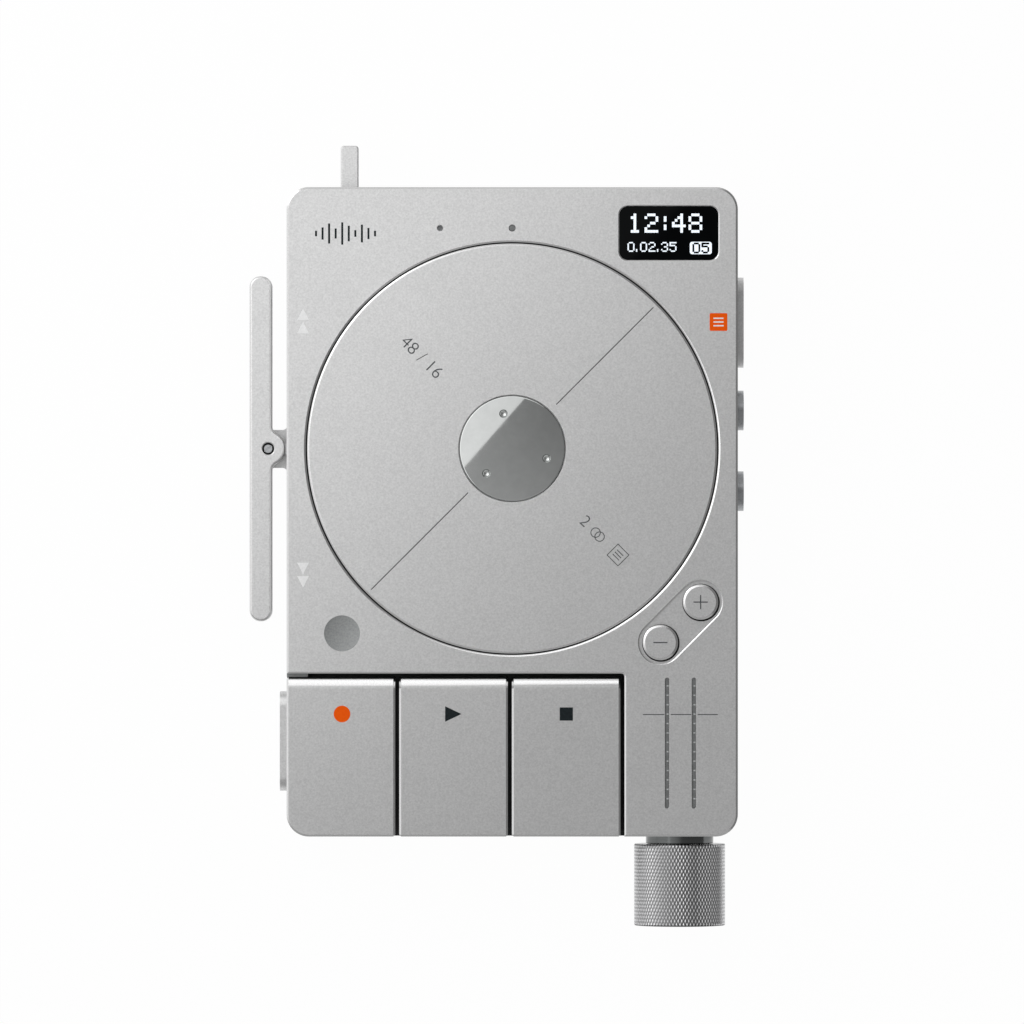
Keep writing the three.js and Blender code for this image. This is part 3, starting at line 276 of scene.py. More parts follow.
def shader(material, kind, settings=None, **inputs):
    """Adds a node. A value fills a socket, and an output of another node is linked to it."""
    tree = material.node_tree
    node = tree.nodes.new(kind)
    for key, value in (settings or {}).items():
        setattr(node, key, value)
    for key, value in inputs.items():
        socket = node.inputs[int(key[1:])] if key[0] == "_" else node.inputs[key.replace("_", " ")]
        if isinstance(value, bpy.types.NodeSocket):
            tree.links.new(value, socket)
        else:
            socket.default_value = value
    return node


def blank(name):
    material = bpy.data.materials.new(name)
    material.use_nodes = True
    material.node_tree.nodes.clear()
    return material


def surface(material, **inputs):
    """The material's Principled shader, joined to its output."""
    principled = shader(material, "ShaderNodeBsdfPrincipled", **inputs)
    shader(material, "ShaderNodeOutputMaterial", Surface=principled.outputs[0])
    return material


def grain(material, size, detail=2.0, roughness=0.5, stretch=None):
    """Noise whose blotches are about that many millimetres across, fixed to the piece."""
    place = shader(material, "ShaderNodeTexCoord").outputs["Object"]
    if stretch:
        place = shader(material, "ShaderNodeMapping", Vector=place, Scale=stretch).outputs[0]
    return shader(material, "ShaderNodeTexNoise", Vector=place, Scale=1 / (size * MM), Detail=detail,
                  Roughness=roughness).outputs["Fac"]


def between(material, factor, low, high, start=0.3, end=0.7):
    """Two colours, or two levels given as colours, mixed by a factor."""
    ramp = shader(material, "ShaderNodeValToRGB", Fac=factor)
    ramp.color_ramp.elements[0].position, ramp.color_ramp.elements[1].position = start, end
    ramp.color_ramp.elements[0].color, ramp.color_ramp.elements[1].color = low, high
    return ramp.outputs["Color"]


def level(value):
    return (value, value, value, 1.0)


def bumped(material, height, depth):
    return shader(material, "ShaderNodeBump", Height=height, Distance=depth * MM, Strength=1.0).outputs[0]


def finish(name, noise, colours, roughness, bump=0.0, blend=(0.3, 0.7), **inputs):
    """A material whose colour, roughness and relief all follow one noise, given as grain's values."""
    material = blank(name)
    mottle = grain(material, *noise)
    dark, light = (linear(colour) for colour in colours)
    if bump:
        inputs["Normal"] = bumped(material, mottle, bump)
    return surface(material, Base_Color=between(material, mottle, dark, light, *blend),
                   Roughness=between(material, mottle, *map(level, roughness)), **inputs)


# %% [markdown]
# The body is aluminium, milled, blasted with fine beads and anodised clear. The beads leave tiny
# dents, about 0.05 mm across, which spread every reflection and make the metal look soft and pale.
# The dents are drawn five times coarser here, so that they still show in a picture of the whole.

# %% Blasted aluminium
def blasted(name, colour_low, colour_high, roughness, dent=0.26, depth=0.006):
    metal = blank(name)
    dents = grain(metal, dent, 3.0, 0.6)
    cloud = grain(metal, 9.0, 2.0)
    tone = between(metal, dents, linear(colour_low), linear(colour_high))
    shine = between(metal, cloud, level(roughness - 0.015), level(roughness + 0.015))
    return surface(metal, Base_Color=tone, Metallic=1.0, Roughness=shine,
                   Normal=bumped(metal, dents, depth))


aluminium = blasted("blasted_anodised_aluminium", "#CDCDCD", "#E1E1E1", 0.46)
reel_aluminium = blasted("blasted_reel_aluminium", "#CDCDCD", "#E1E1E1", 0.46)
key_aluminium = blasted("blasted_key_aluminium", "#CBCBCB", "#DFDFDF", 0.44)
# The dimple's own coarser finish, which also serves as painted shade on the sill beside the keys.
dimple_finish_and_sill_shade = blasted("coarse_blasted_dimple_and_painted_sill_shade", "#969898", "#AAACAC", 0.5)

# %% [markdown]
# The rims are cut once more after the blasting, with a sharp tool. A cut rim is smoother than the
# face beside it, so it shows as a white line where it faces the light and as a dark one elsewhere.

# %% Cut edges
cut_edge = finish("cut_aluminium_edge", (0.2, 3.0), ("#DADADA", "#E4E4E4"), (0.15, 0.21), Metallic=1.0)
RIM_WIDTH, RIM_DEPTH, RIM_SHOULDER = 0.28, 0.15, 0.06


def cut_rim(radius, way):
    """The outline of a cut rim, from its wall to the face: 1 widens a hole and -1 narrows a disc."""
    shoulder = (radius + way * (RIM_WIDTH - RIM_SHOULDER), FACE - RIM_SHOULDER / 4)
    return [(radius, FACE - RIM_DEPTH), shoulder, (radius + way * RIM_WIDTH, FACE)]


def mark(bm, chosen, index):
    """Gives the chosen faces another of the piece's materials."""
    bm.normal_update()
    for face in bm.faces:
        if chosen(face):
            face.material_index = index


def is_rim(face):
    """A narrow slanted face that looks upwards, as a cut rim does."""
    return 0.05 < face.normal.z < 0.985

# %% [markdown]
# The reel's hub cap is the one mirror on the face: stainless steel, ground and then polished, with
# the faintest trace of the wheel. The knob's bushing is turned steel with rings round its axis, painted
# darker as shade from the body's edge and the knob. The screws are machined, with fine scratches that break
# up their gloss.

# %% Polished steel, turned steel and screws
LATHE_RINGS = (0.5, 3.0, 0.6, (0.05, 1.0, 0.05))
polished = finish("polished_stainless_steel", (1.4, 3.0), ("#C8CAC9", "#CED0CF"), (0.02, 0.035),
                  Metallic=1.0)
turned_steel = finish("turned_steel", LATHE_RINGS, ("#A9ABAB", "#BFC1C1"), (0.2, 0.32), 0.004, Metallic=1.0)
# Painted shade: the bushing's steel is darker for the shade from the body's edge and the knob.
turned_steel_with_painted_shade = finish("turned_steel_darkened_as_painted_shade", LATHE_RINGS, ("#5E6060", "#6E7070"), (0.1, 0.18), Metallic=1.0)
screw_steel = finish("machined_screw_steel", (0.3, 4.0, 0.7), ("#9A9C9E", "#B8BABC"), (0.25, 0.45), 0.004,
                     Metallic=1.0)

# %% [markdown]
# The knob is the same aluminium with its diamonds rolled in before blasting. Its colour follows the
# distance from the knob's axis: painted shade darkens the grooves and a painted highlight lightens the
# tips of the diamonds, and roughness follows a fine noise.

# %% Knurled aluminium
knurled = blank("knurled_aluminium_painted_groove_shade")
burnish = grain(knurled, 0.25, 3.0)
knob_low, knob_high = span("volume_knob")
KNOB_RADIUS, KNURL_DEPTH = (knob_high.x - knob_low.x) / 2, 0.11
knob_axis = Vector((centre("volume_knob").x, 0, (knob_low.z + knob_high.z) / 2)) * MM
away = shader(knurled, "ShaderNodeTexCoord").outputs["Object"]
for step, settings in (("SUBTRACT", {"_1": knob_axis}), ("MULTIPLY", {"_1": (1, 0, 1)}), ("LENGTH", {})):
    away = shader(knurled, "ShaderNodeVectorMath", {"operation": step}, _0=away, **settings)
    away = away.outputs["Value" if step == "LENGTH" else "Vector"]
# Painted shade and highlight: dark in the grooves, light on the crests of the diamonds.
raised = shader(knurled, "ShaderNodeMapRange", Value=away,
                From_Min=(KNOB_RADIUS - KNURL_DEPTH) * MM, From_Max=KNOB_RADIUS * MM).outputs[0]
surface(knurled, Base_Color=between(knurled, raised, linear("#6C6C6D"), linear("#EEEEEF"), 0.05, 0.75),
        Metallic=1.0, Roughness=between(knurled, burnish, level(0.14), level(0.22)),
        Normal=bumped(knurled, burnish, 0.003))

# %% [markdown]
# The dark pieces: a glass pane over a black panel, smoked acrylic in the level meters, and moulded
# ABS inside the sockets. Glass and ABS are nearly black and differ in their gloss: the glass mirrors
# sharply and the ABS is dull with a fine texture. The acrylic is a cloudy grey.

# %% Glass and plastics
black_glass = finish("black_cover_glass", (5.0, 3.0), ("#020304", "#040607"), (0.04, 0.08), IOR=1.52,
                     Specular_IOR_Level=0.06)
smoked = finish("smoked_acrylic", (0.4, 2.0), ("#707272", "#7E8080"), (0.3, 0.42), 0.006, IOR=1.49)
moulded = finish("moulded_black_abs", (0.3, 3.0), ("#131416", "#1E2022"), (0.45, 0.6), 0.01, IOR=1.52)

# %% [markdown]
# Inside the body: a green board with copper under its lacquer, the battery's foil pouch with its
# fine creases, and the motor's wound copper. They are seen only when the body is opened.

# %% Board, battery and motor finishes
board = finish("lacquered_circuit_board", (0.8, 4.0, 0.6), ("#123826", "#1F5A3F"), (0.3, 0.5), 0.01,
               blend=(0.42, 0.58))
pouch = finish("aluminium_foil_pouch", (3.0, 5.0, 0.65), ("#8F9398", "#B4B8BC"), (0.3, 0.5), 0.06,
               Metallic=0.8)
copper = finish("enamelled_copper_winding", (0.35, 2.0, 0.5, (1.0, 1.0, 0.2)), ("#8A4A24", "#C07A48"),
                (0.3, 0.45), 0.03, Metallic=1.0)

# %% [markdown]
# The marks are pad-printed: a rubber pad lays a film of ink about 0.01 mm thick. Ink is a plain
# dull paint, whose tone and sheen vary a little from the pad.

# %% Printing inks and the lit display
def ink(name, dark, light):
    return finish(name, (0.35, 3.0), (dark, light), (0.5, 0.6), Specular_IOR_Level=0.08)


dark_ink = ink("dark_grey_ink", "#1C2224", "#262D30")
line_ink = ink("fine_line_ink", "#505254", "#5C5E60")
orange_ink = ink("orange_ink", "#FB5A04", "#FF6408")
white_ink = ink("white_ink", "#F2F3F3", "#FFFFFF")
rib_ink = ink("pale_rib_ink", "#C0C2C2", "#CACCCC")

lit = blank("lit_display_pixels")
flicker = grain(lit, 0.3, 1.0)
surface(lit, Base_Color=between(lit, flicker, linear("#E0E8F0"), linear("#EEF4FA")), Roughness=0.5,
        Emission_Color=linear("#E8F2FC"), Emission_Strength=0.55)
print("finishes:", ", ".join(m.name for m in bpy.data.materials if m.use_nodes))

# %% [markdown]
# ## The body
# The real body is milled from one block. It is built the same way here: a block with rounded
# corners, a flat chamfer round its face and a rounded edge at its back, then a tool for every pocket.
# The tools that break through the face flare at the top, which leaves the thin bright line that a
# cut rim shows in soft light. Each tool reaches BEYOND the metal, and the small ones start
# UNDER_FACE, in the hollow of the body.

# %% The block and its tools
CORNER, EDGE, CHAMFER = 3.3, 0.4, 0.3
BAY_RIM, FINE_RIM, GLASS_RIM, RIM_SLANT = 0.24, 0.08, 0.12, 0.6
BEYOND, UNDER_FACE = 1.0, 13.0

block = slab(RIGHT - LEFT, TOP - BOTTOM, 0, FACE, CORNER, 24)
round_edges(block, rim(block, 0), EDGE, 5)
round_edges(block, rim(block, FACE), CHAMFER, 1)
for vert in block.verts:
    if abs(vert.co.z - (FACE - CHAMFER)) < 0.001:
        vert.co.z = FACE - CHAMFER * RIM_SLANT

disc_low, disc_high = span("reel_disc")
DISC_RADIUS, RING_GAP = (disc_high.x - disc_low.x) / 2 - 0.15, 0.22
POCKET_RADIUS = DISC_RADIUS + RING_GAP
POCKET_FLOOR = disc_low.z - 0.5
pocket = moved(spun([(0, POCKET_FLOOR), (POCKET_RADIUS, POCKET_FLOOR), *cut_rim(POCKET_RADIUS, 1),
                     (POCKET_RADIUS + RIM_WIDTH, FACE + BEYOND), (0, FACE + BEYOND)], 256), y=reel.y)

key_high = span("stop_key")[1]
BAY_DEPTH = 4.48
BAY_TOP, BAY_RIGHT, BAY_FLOOR = key_high.y + 0.66, key_high.x + 0.6, FACE - BAY_DEPTH
bay_width, bay_length = BAY_RIGHT - LEFT + BEYOND, BAY_TOP - BOTTOM + BEYOND
bay = flare(slab(bay_width, bay_length, BAY_FLOOR, FACE - BAY_RIM * RIM_SLANT, 0.5, 6,
                 at=(BAY_RIGHT - bay_width / 2, BAY_TOP - bay_length / 2)), BAY_RIM, BAY_RIM * RIM_SLANT)
SILL_LENGTH, SILL_WIDTH, SILL_DEPTH, KEY_GAP, KEY_REACH = 3.1, 1.5, 1.5, 0.04, 0.12
sill = slab(SILL_LENGTH, SILL_WIDTH, BAY_FLOOR - 0.5, FACE - SILL_DEPTH, 0,
            at=(LEFT + SILL_LENGTH / 2, key_high.y + KEY_REACH + KEY_GAP + SILL_WIDTH / 2))
bay = combined(bay, [sill])

screen_low, screen_high = span("screen_window")
screen = centre("screen_window")
SCREEN_CORNER, GLASS_GAP, LEDGE = 1.3, 0.06, 0.9
screen_size = screen_high - screen_low - Vector((0.1, 0.1, 0))
window_seat = slab(screen_size.x + 2 * GLASS_GAP, screen_size.y + 2 * GLASS_GAP, screen_low.z,
                   FACE - GLASS_RIM * RIM_SLANT, SCREEN_CORNER + GLASS_GAP, 12, at=screen.xy)
window_seat = flare(window_seat, GLASS_RIM, GLASS_RIM * RIM_SLANT)
window_view = slab(screen_size.x - 2 * LEDGE, screen_size.y - 2 * LEDGE, UNDER_FACE - 0.1,
                   screen_low.z + 0.1, 1.1, 8, at=screen.xy)
print(f"pocket {2 * POCKET_RADIUS:.1f} mm across, key bay {bay_width:.1f} mm wide, floor at {BAY_FLOOR:.2f}")

# %% [markdown]
# The small openings: the microphone's hole, the status light's, a shallow round dimple that tells a
# thumb where it is, the sunk track that carries the plus and minus buttons, and the meter slots.

# %% Small openings in the face
microphone, light = centre("microphone"), centre("status_light_pipe")
MIC_RADIUS = 0.42
mic_hole = flare(disc(MIC_RADIUS, UNDER_FACE, FACE - FINE_RIM, 32), FINE_RIM, FINE_RIM)
moved(mic_hole, microphone.x, microphone.y)
light_hole = moved(flare(disc(0.5, 11.0, FACE - 0.03, 32), 0.03, 0.03), light.x, light.y)

plus, minus = centre("plus_button"), centre("minus_button")
track_middle, track = (plus + minus) / 2, plus - minus
BUTTON_RADIUS, BUTTON_GAP, TRACK_RADIUS, TRACK_DEPTH, TRACK_RIM = 2.61, 0.16, 3.18, 0.3, 0.13
track_tool = slab(track.xy.length + 2 * TRACK_RADIUS, 2 * TRACK_RADIUS, FACE - TRACK_DEPTH,
                  FACE - TRACK_RIM * RIM_SLANT, TRACK_RADIUS * 0.999, 24)
track_tool = flare(track_tool, TRACK_RIM, TRACK_RIM * RIM_SLANT)
moved(track_tool, track_middle.x, track_middle.y, turn=math.atan2(track.y, track.x))
WELL_SHIFT = 0.08
button_holes = [disc(BUTTON_RADIUS + BUTTON_GAP, UNDER_FACE, FACE, 64,
                     at=(place.x + WELL_SHIFT, place.y - WELL_SHIFT)) for place in (plus, minus)]

slot_low, slot_high = span("left_level_guide")
meter_xs = [centre("left_level_guide").x, centre("right_level_guide").x]
SLOT_WIDTH, SLOT_RIM = 0.56, 0.06
slot_length, slot_y = slot_high.y - slot_low.y - 0.15, (slot_low.y + slot_high.y) / 2 + 0.08
slot_tools = [flare(slab(SLOT_WIDTH, slot_length, UNDER_FACE, FACE - SLOT_RIM, SLOT_WIDTH * HALF_ROUND, 8,
                         at=(x, slot_y)), SLOT_RIM, SLOT_RIM) for x in meter_xs]

DIMPLE_RADIUS, DIMPLE_STEP, DIMPLE_DISH = 2.65, 0.12, 0.14
dimple_x, dimple_y = LEFT + 8.2, BAY_TOP + 5.93
dish = [(DIMPLE_RADIUS * share, FACE - DIMPLE_STEP - DIMPLE_DISH * (1 - share ** 2))
        for share in (step / 10 for step in range(11))]
dimple = moved(spun([*dish, (DIMPLE_RADIUS, FACE + BEYOND), (0, FACE + BEYOND)], 96), dimple_x, dimple_y)
print(f"{len(slot_tools)} meter slots {slot_high.y - slot_low.y:.1f} mm long, "
      f"dimple at {dimple_x:.1f}, {dimple_y:.1f}")

# %% [markdown]
# The sides have a hole for each button, the rocker's finger and bracket, the mode lever, three
# jacks, a USB-C socket and the knob's bushing. Inside, the body is hollow but for the reel's pan,
# the floor of the key bay and the four screw posts, as the CAD model is.

# %% Openings in the sides and the hollow inside
WALL, HOLE_LIP = 1.5, 0.35
SIDE_BUTTONS = ("memo_button", "upper_side_button", "lower_side_button", "left_side_key")
side_tools = []
for node in SIDE_BUTTONS:
    low, high = span(node)
    place = (low + high) / 2
    height, length = high.z - low.z - 2 * HOLE_LIP, high.y - low.y - 2 * HOLE_LIP
    tool = slab(height, length, -3.0, 3.0, min(height, length) * HALF_ROUND, 12)
    side_tools.append(moved(tool, RIGHT if place.x > 0 else LEFT, place.y, place.z, QUARTER, "Y"))

pivot, mode = centre("rocker_pivot_screw"), centre("mode_lever")
usb, knob = centre("usb_socket"), centre("volume_knob")
side_tools.append(slab(5, 3.2, MIDDLE - 1.25, MIDDLE + 1.25, 0, at=(LEFT, reel.y)))
MODE_WIDTH, USB_HEIGHT = 2.65, 3.5
side_tools.append(slab(MODE_WIDTH + 0.5, 5, MIDDLE - 1.95, MIDDLE + 1.95, 0.6, 6, at=(mode.x, TOP)))
for jack in (centre(f"audio_jack_{index}") for index in (1, 2, 3)):
    side_tools.append(moved(disc(2.45, -3, 3, 64), jack.x, TOP, MIDDLE, QUARTER, "X"))
side_tools.append(moved(slab(9.24, USB_HEIGHT, -3, 3, USB_HEIGHT * HALF_ROUND, 16), usb.x, TOP, MIDDLE,
                        QUARTER, "X"))
side_tools.append(moved(disc(3.55, -3, 3, 64), knob.x, BOTTOM, MIDDLE, QUARTER, "X"))

POST_RADIUS, PAN_WALL = 2.4, 1.2
hollow = slab(RIGHT - LEFT - 2 * WALL, TOP - BOTTOM - 2 * WALL, -BEYOND, FACE - WALL, CORNER - WALL, 8)
posts = [disc(POST_RADIUS, 1.4, 12.05, 32, at=centre(f"rear_screw_{i}").xy) for i in (1, 2, 3, 4)]
pan = disc(POCKET_RADIUS + PAN_WALL, POCKET_FLOOR - PAN_WALL, FACE, 96, at=(0, reel.y))
boss = disc(5.4, 5.65, POCKET_FLOOR, 48, at=(0, reel.y))
bay_pan = slab(bay_width + WALL, bay_length + WALL, BAY_FLOOR - PAN_WALL, FACE, 0.4, 4,
               at=(BAY_RIGHT + WALL - (bay_width + WALL) / 2, BAY_TOP + WALL - (bay_length + WALL) / 2))
hollow = combined(hollow, [*posts, pan, boss, bay_pan])
print(f"{len(side_tools)} openings in the sides")

# %% [markdown]
# The milling itself is one cut with all the tools. Then the faces get their finishes: the slanted
# rims are cut bright, and the walls and floors deep in the openings get the black ABS finish as painted
# shade, as no light reaches them there. The thumb's dimple is blasted coarser, and the sill beside the keys
# gets the dimple's darker finish as painted shade.

# %% Mill the body
body = combined(block, [hollow, pocket, bay, window_seat, window_view, mic_hole, light_hole, track_tool,
                        *button_holes, *slot_tools, dimple, *side_tools])
CUT, PAINTED_SHADE, DIMPLE_AND_SILL_SHADE, SHADOW_DEPTH = 1, 2, 3, 0.31


def in_painted_shade(face):
    """The walls and floors of the reel's pocket, the key bay and the holes, below their rims, which are
    painted with the black ABS finish as painted shade.
    """
    middle = face.calc_center_median()
    well = BUTTON_RADIUS + BUTTON_GAP + 2 * WELL_SHIFT
    holes = ((reel, POCKET_RADIUS), (plus, well), (minus, well), (microphone, MIC_RADIUS))
    in_hole = any((middle.xy - place.xy).length < radius + 0.02 for place, radius in holes)
    in_bay = (LEFT + SILL_LENGTH - 0.1 < middle.x < BAY_RIGHT + 0.1 and middle.y < BAY_TOP + 0.1
              and middle.z > BAY_FLOOR - 0.1)
    return middle.z < FACE - SHADOW_DEPTH and (in_hole or in_bay) and middle.y > BOTTOM + 0.5


def in_dimple(face):
    middle = face.calc_center_median()
    away = Vector((middle.x - dimple_x, middle.y - dimple_y)).length
    return away < DIMPLE_RADIUS + 0.01 and middle.z < FACE - 0.01


def on_sill(face):
    middle = face.calc_center_median()
    on_top = abs(middle.z - FACE + SILL_DEPTH) < 0.01
    return on_top and middle.x < LEFT + SILL_LENGTH and middle.y > key_high.y


mark(body, is_rim, CUT)
# Painted shade: the deep walls and floors of the openings get the black ABS finish.
mark(body, in_painted_shade, PAINTED_SHADE)
mark(body, in_dimple, DIMPLE_AND_SILL_SHADE)
# Painted shade: the sill deep beside the keys gets the dimple's darker finish.
mark(body, on_sill, DIMPLE_AND_SILL_SHADE)
finished(body, "milled_case", [aluminium, cut_edge, moulded, dimple_finish_and_sill_shade], "housing", "front_housing")

# %% [markdown]
# ## The reel
# A flat disc sunk flush with the face, with a cut rim and a round seat for its cap. One fine
# line is engraved right across it, at 45 degrees, so that its turning shows. The line is a real
# groove, 0.14 mm wide, broken round the cap.

# %% Reel disc and its engraved line
cap_low, cap_high = span("reel_cap")
CAP_RADIUS = (cap_high.x - cap_low.x) / 2
SEAT_RADIUS, seat_floor = CAP_RADIUS + 0.12, cap_low.z
seat_rim = [(SEAT_RADIUS + 0.06, FACE), (SEAT_RADIUS, FACE - 0.06)]
PLATE_EDGE = 0.25
plate = spun([(0, disc_low.z), (DISC_RADIUS - PLATE_EDGE, disc_low.z),
              (DISC_RADIUS, disc_low.z + PLATE_EDGE), *cut_rim(DISC_RADIUS, -1), *seat_rim,
              (SEAT_RADIUS, seat_floor), (0, seat_floor)], 256)
LINE_WIDTH, LINE_DEPTH, LINE_FROM, LINE_TO = 0.14, 0.1, 9.2, 29.5
line_tools = [moved(slab(LINE_TO - LINE_FROM, LINE_WIDTH, FACE - LINE_DEPTH, FACE + BEYOND, 0,
                         at=(way * (LINE_FROM + LINE_TO) / 2, 0)), turn=QUARTER / 2) for way in (1, -1)]
plate = moved(combined(plate, line_tools), y=reel.y)


def in_line(face):
    inside = face.calc_center_median()
    across = abs(inside.x - (inside.y - reel.y)) / math.sqrt(2)
    return across < LINE_WIDTH * 0.6 and FACE - LINE_DEPTH - 0.01 < inside.z < FACE - 0.01


GROOVE_SHADE = 2
mark(plate, is_rim, CUT)
# Painted shade: the engraved groove's faces get the dark line colour.
mark(plate, in_line, GROOVE_SHADE)
finished(plate, "reel_plate", [reel_aluminium, cut_edge, line_ink], "reel", "reel_disc")

# %% [markdown]
# The cap is polished to a mirror and very slightly crowned, 0.06 mm over its width, which is why a
# straight-edged reflection lies across it. Three small round dimples give a fingertip its hold.

# %% Hub cap
CROWN, CAP_EDGE = 0.06, 0.16
crown = [(share * (CAP_RADIUS - CAP_EDGE), FACE + CROWN * (1 - share ** 2))
         for share in (1.0, 0.995, *[i / 16 for i in range(15, 0, -1)])]
cap_edge = arc(CAP_RADIUS - CAP_EDGE, FACE - CAP_EDGE, CAP_EDGE, 0, QUARTER, 5)[:-1]
hub = spun([(0, seat_floor), (CAP_RADIUS, seat_floor), *cap_edge, *crown, (0, FACE + CROWN)], 192)
BALL, BALL_LIFT, BALL_CIRCLE, BALL_START = 0.68, 0.27, 5.3, math.radians(104)
cap_dimples = []
for third in range(3):
    angle = BALL_START + third * math.tau / 3
    tool = bmesh.new()
    bmesh.ops.create_uvsphere(tool, u_segments=32, v_segments=32, radius=BALL)
    cap_dimples.append(moved(tool, BALL_CIRCLE * math.cos(angle), BALL_CIRCLE * math.sin(angle),
                             FACE + BALL_LIFT))
hub = moved(combined(hub, cap_dimples), y=reel.y)
finished(hub, "polished_hub_cap", polished, "reel", "reel_cap", sharp=30)

# %% [markdown]
# ## The keys
# Three long keys press straight down. Each is a block whose far edge is rolled over, which is where
# the light runs along it, while its other edges are only broken. The first carries the body's corner.
# The roll is a bevel that is then pressed flatter, so that the key's face stays broad.

# %% Record, play and stop keys
KEY_ROLL, ROLL_SHARE, KEY_EDGE, KEY_HEIGHT, STEM_REACH = 1.75, 0.5, 0.28, 3.28, 7.35


def key_cap(node, carries_corner):
    low, high = span(node)
    high.y += KEY_REACH
    deck, middle = FACE - KEY_HEIGHT, (low + high) / 2
    bm = slab(high.x - low.x, high.y - low.y, deck, FACE, 0, at=middle.xy)
    if carries_corner:
        corner = [e for e in bm.edges
                  if all(v.co.x < low.x + 0.01 and v.co.y < low.y + 0.01 for v in e.verts)]
        round_edges(bm, corner, CORNER, 24)
    roll = [e for e in bm.edges if all(v.co.y > high.y - 0.01 and v.co.z > FACE - 0.01 for v in e.verts)]
    round_edges(bm, roll, KEY_ROLL, 16)
    rolled = [v for v in bm.verts if v.co.z > FACE - KEY_ROLL - 0.001]
    bmesh.ops.scale(bm, vec=(1, 1, ROLL_SHARE), space=Matrix.Translation((0, 0, -FACE)), verts=rolled)
    hard = [e for e in bm.edges if e.calc_face_angle(0) > math.radians(40)
            and max(v.co.z for v in e.verts) > deck + 0.1]
    round_edges(bm, hard, KEY_EDGE, 1)
    for vert in bm.verts:
        if abs(vert.co.z - (FACE - KEY_EDGE)) < 0.001 and vert.co.y < high.y - KEY_ROLL - 0.01:
            vert.co.z = FACE - KEY_EDGE * RIM_SLANT
    stem = disc(1.1, low.z, deck + 0.5, 24, at=(middle.x, low.y + STEM_REACH))
    bm = combined(bm, [stem], "UNION")
    mark(bm, is_rim, CUT)
    finished(bm, f"{node}_cap", [key_aluminium, cut_edge], node, node)


for node in ("record_key", "play_key", "stop_key"):
    key_cap(node, carries_corner=node == "record_key")

# %% [markdown]
# The plus and minus buttons are turned, so they are spun: a flat top, a slanted edge and a lip that
# stays behind the wall. Each sits a hair to the upper left in its well, and below its edge it gets the black
# ABS finish as painted shade.

# %% Plus and minus buttons
BUTTON_EDGE, BUTTON_SHOULDER, STEM, LIP, LIP_LOW, LIP_HIGH = 0.33, 0.05, 0.8, 3.3, 13.8, 14.35
for node, place in (("plus_button", plus), ("minus_button", minus)):
    low, high = span(node)
    lid = high.z - FILM
    flat = BUTTON_RADIUS - BUTTON_EDGE
    button = spun([(0, low.z), (STEM, low.z), (STEM, LIP_LOW), (LIP, LIP_LOW), (LIP, LIP_HIGH),
                   (BUTTON_RADIUS, LIP_HIGH), (BUTTON_RADIUS, lid - BUTTON_EDGE * RIM_SLANT),
                   (flat + BUTTON_SHOULDER, lid - BUTTON_SHOULDER / 4), (flat, lid), (flat - 0.05, lid),
                   (0, lid)], 96)
    mark(button, lambda face: is_rim(face) and face.calc_center_median().z > FACE - BUTTON_EDGE, CUT)
    # Painted shade: below its edge the button gets the black ABS finish.
    mark(button, lambda face: face.calc_center_median().z < lid - 2 * BUTTON_EDGE, PAINTED_SHADE)
    finished(moved(button, place.x, place.y), f"turned_{node}", [aluminium, cut_edge, moulded], node, node)

# %% [markdown]
# ## The volume knob
# Two wheels with slanted teeth roll their pattern into the turned blank, one set of grooves leaning
# left and one leaning right. Between them stand little diamonds: 82 round the knob, 11 along it.
# The blank is spun from a line of points, and each point then sinks as far as the nearer groove.

# %% Knurled knob
DIAMONDS_ROUND, DIAMONDS_ALONG, POINTS_PER_DIAMOND = 82, 11, 6
KNOB_RIM, knob_length = 0.28, knob_high.y - knob_low.y
band = knob_length - 2 * KNOB_RIM
rows = DIAMONDS_ALONG * POINTS_PER_DIAMOND
band_line = [(KNOB_RADIUS, KNOB_RIM + band * row / rows) for row in range(rows + 1)]
end_radius = KNOB_RADIUS - KNURL_DEPTH - 0.03
barrel = spun([(0, 0), (end_radius, 0), *band_line, (end_radius, knob_length), (0, knob_length)],
              DIAMONDS_ROUND * POINTS_PER_DIAMOND)


def ridge(turns):
    """1 on the crest between two grooves and 0 in a groove."""
    return 1 - abs(2 * (turns % 1) - 1)


for vert in barrel.verts:
    along = (vert.co.z - KNOB_RIM) / band * DIAMONDS_ALONG
    if -0.001 < along < DIAMONDS_ALONG + 0.001:
        around = math.atan2(vert.co.y, vert.co.x) / math.tau * DIAMONDS_ROUND
        crest = min(ridge(around + along), ridge(around - along))
        deep = KNURL_DEPTH * (1 - crest)
        vert.co.xy *= 1 - deep / KNOB_RADIUS
BORE_DEPTH = 9
barrel = combined(barrel, [disc(1.65, knob_length - BORE_DEPTH, knob_length + BEYOND, 32)])
moved(barrel, knob.x, knob_low.y, MIDDLE, -QUARTER, "X")
finished(barrel, "knurled_knob", knurled, "volume", "volume_knob", sharp=25)

# %% [markdown]
# Between the knob and the body stands the flange of the turned bushing, and the shaft runs through it.

# %% Bushing
bush_low, bush_high = span("volume_bushing")
BUSH_RADIUS, BUSH_EDGE, THREAD_RADIUS = (bush_high.x - bush_low.x) / 2, 0.1, 3.4
flange_end, thread_end = BOTTOM - bush_low.y, bush_high.y - bush_low.y
neck_end = knob_high.y + 0.08 - bush_low.y
bushing = spun([(0, neck_end), (BUSH_RADIUS - BUSH_EDGE, neck_end), (BUSH_RADIUS, neck_end + BUSH_EDGE),
                (BUSH_RADIUS, flange_end), (THREAD_RADIUS, flange_end), (THREAD_RADIUS, thread_end),
                (0, thread_end)], 128)
bushing = combined(bushing, [disc(1.7, -1, 6, 48)])
moved(bushing, knob.x, bush_low.y, MIDDLE, -QUARTER, "X")
# Painted shade: the bushing's steel is darkened for the shade of the body's edge and the knob.
finished(bushing, "turned_bushing", turned_steel_with_painted_shade, "housing", "volume_bushing")

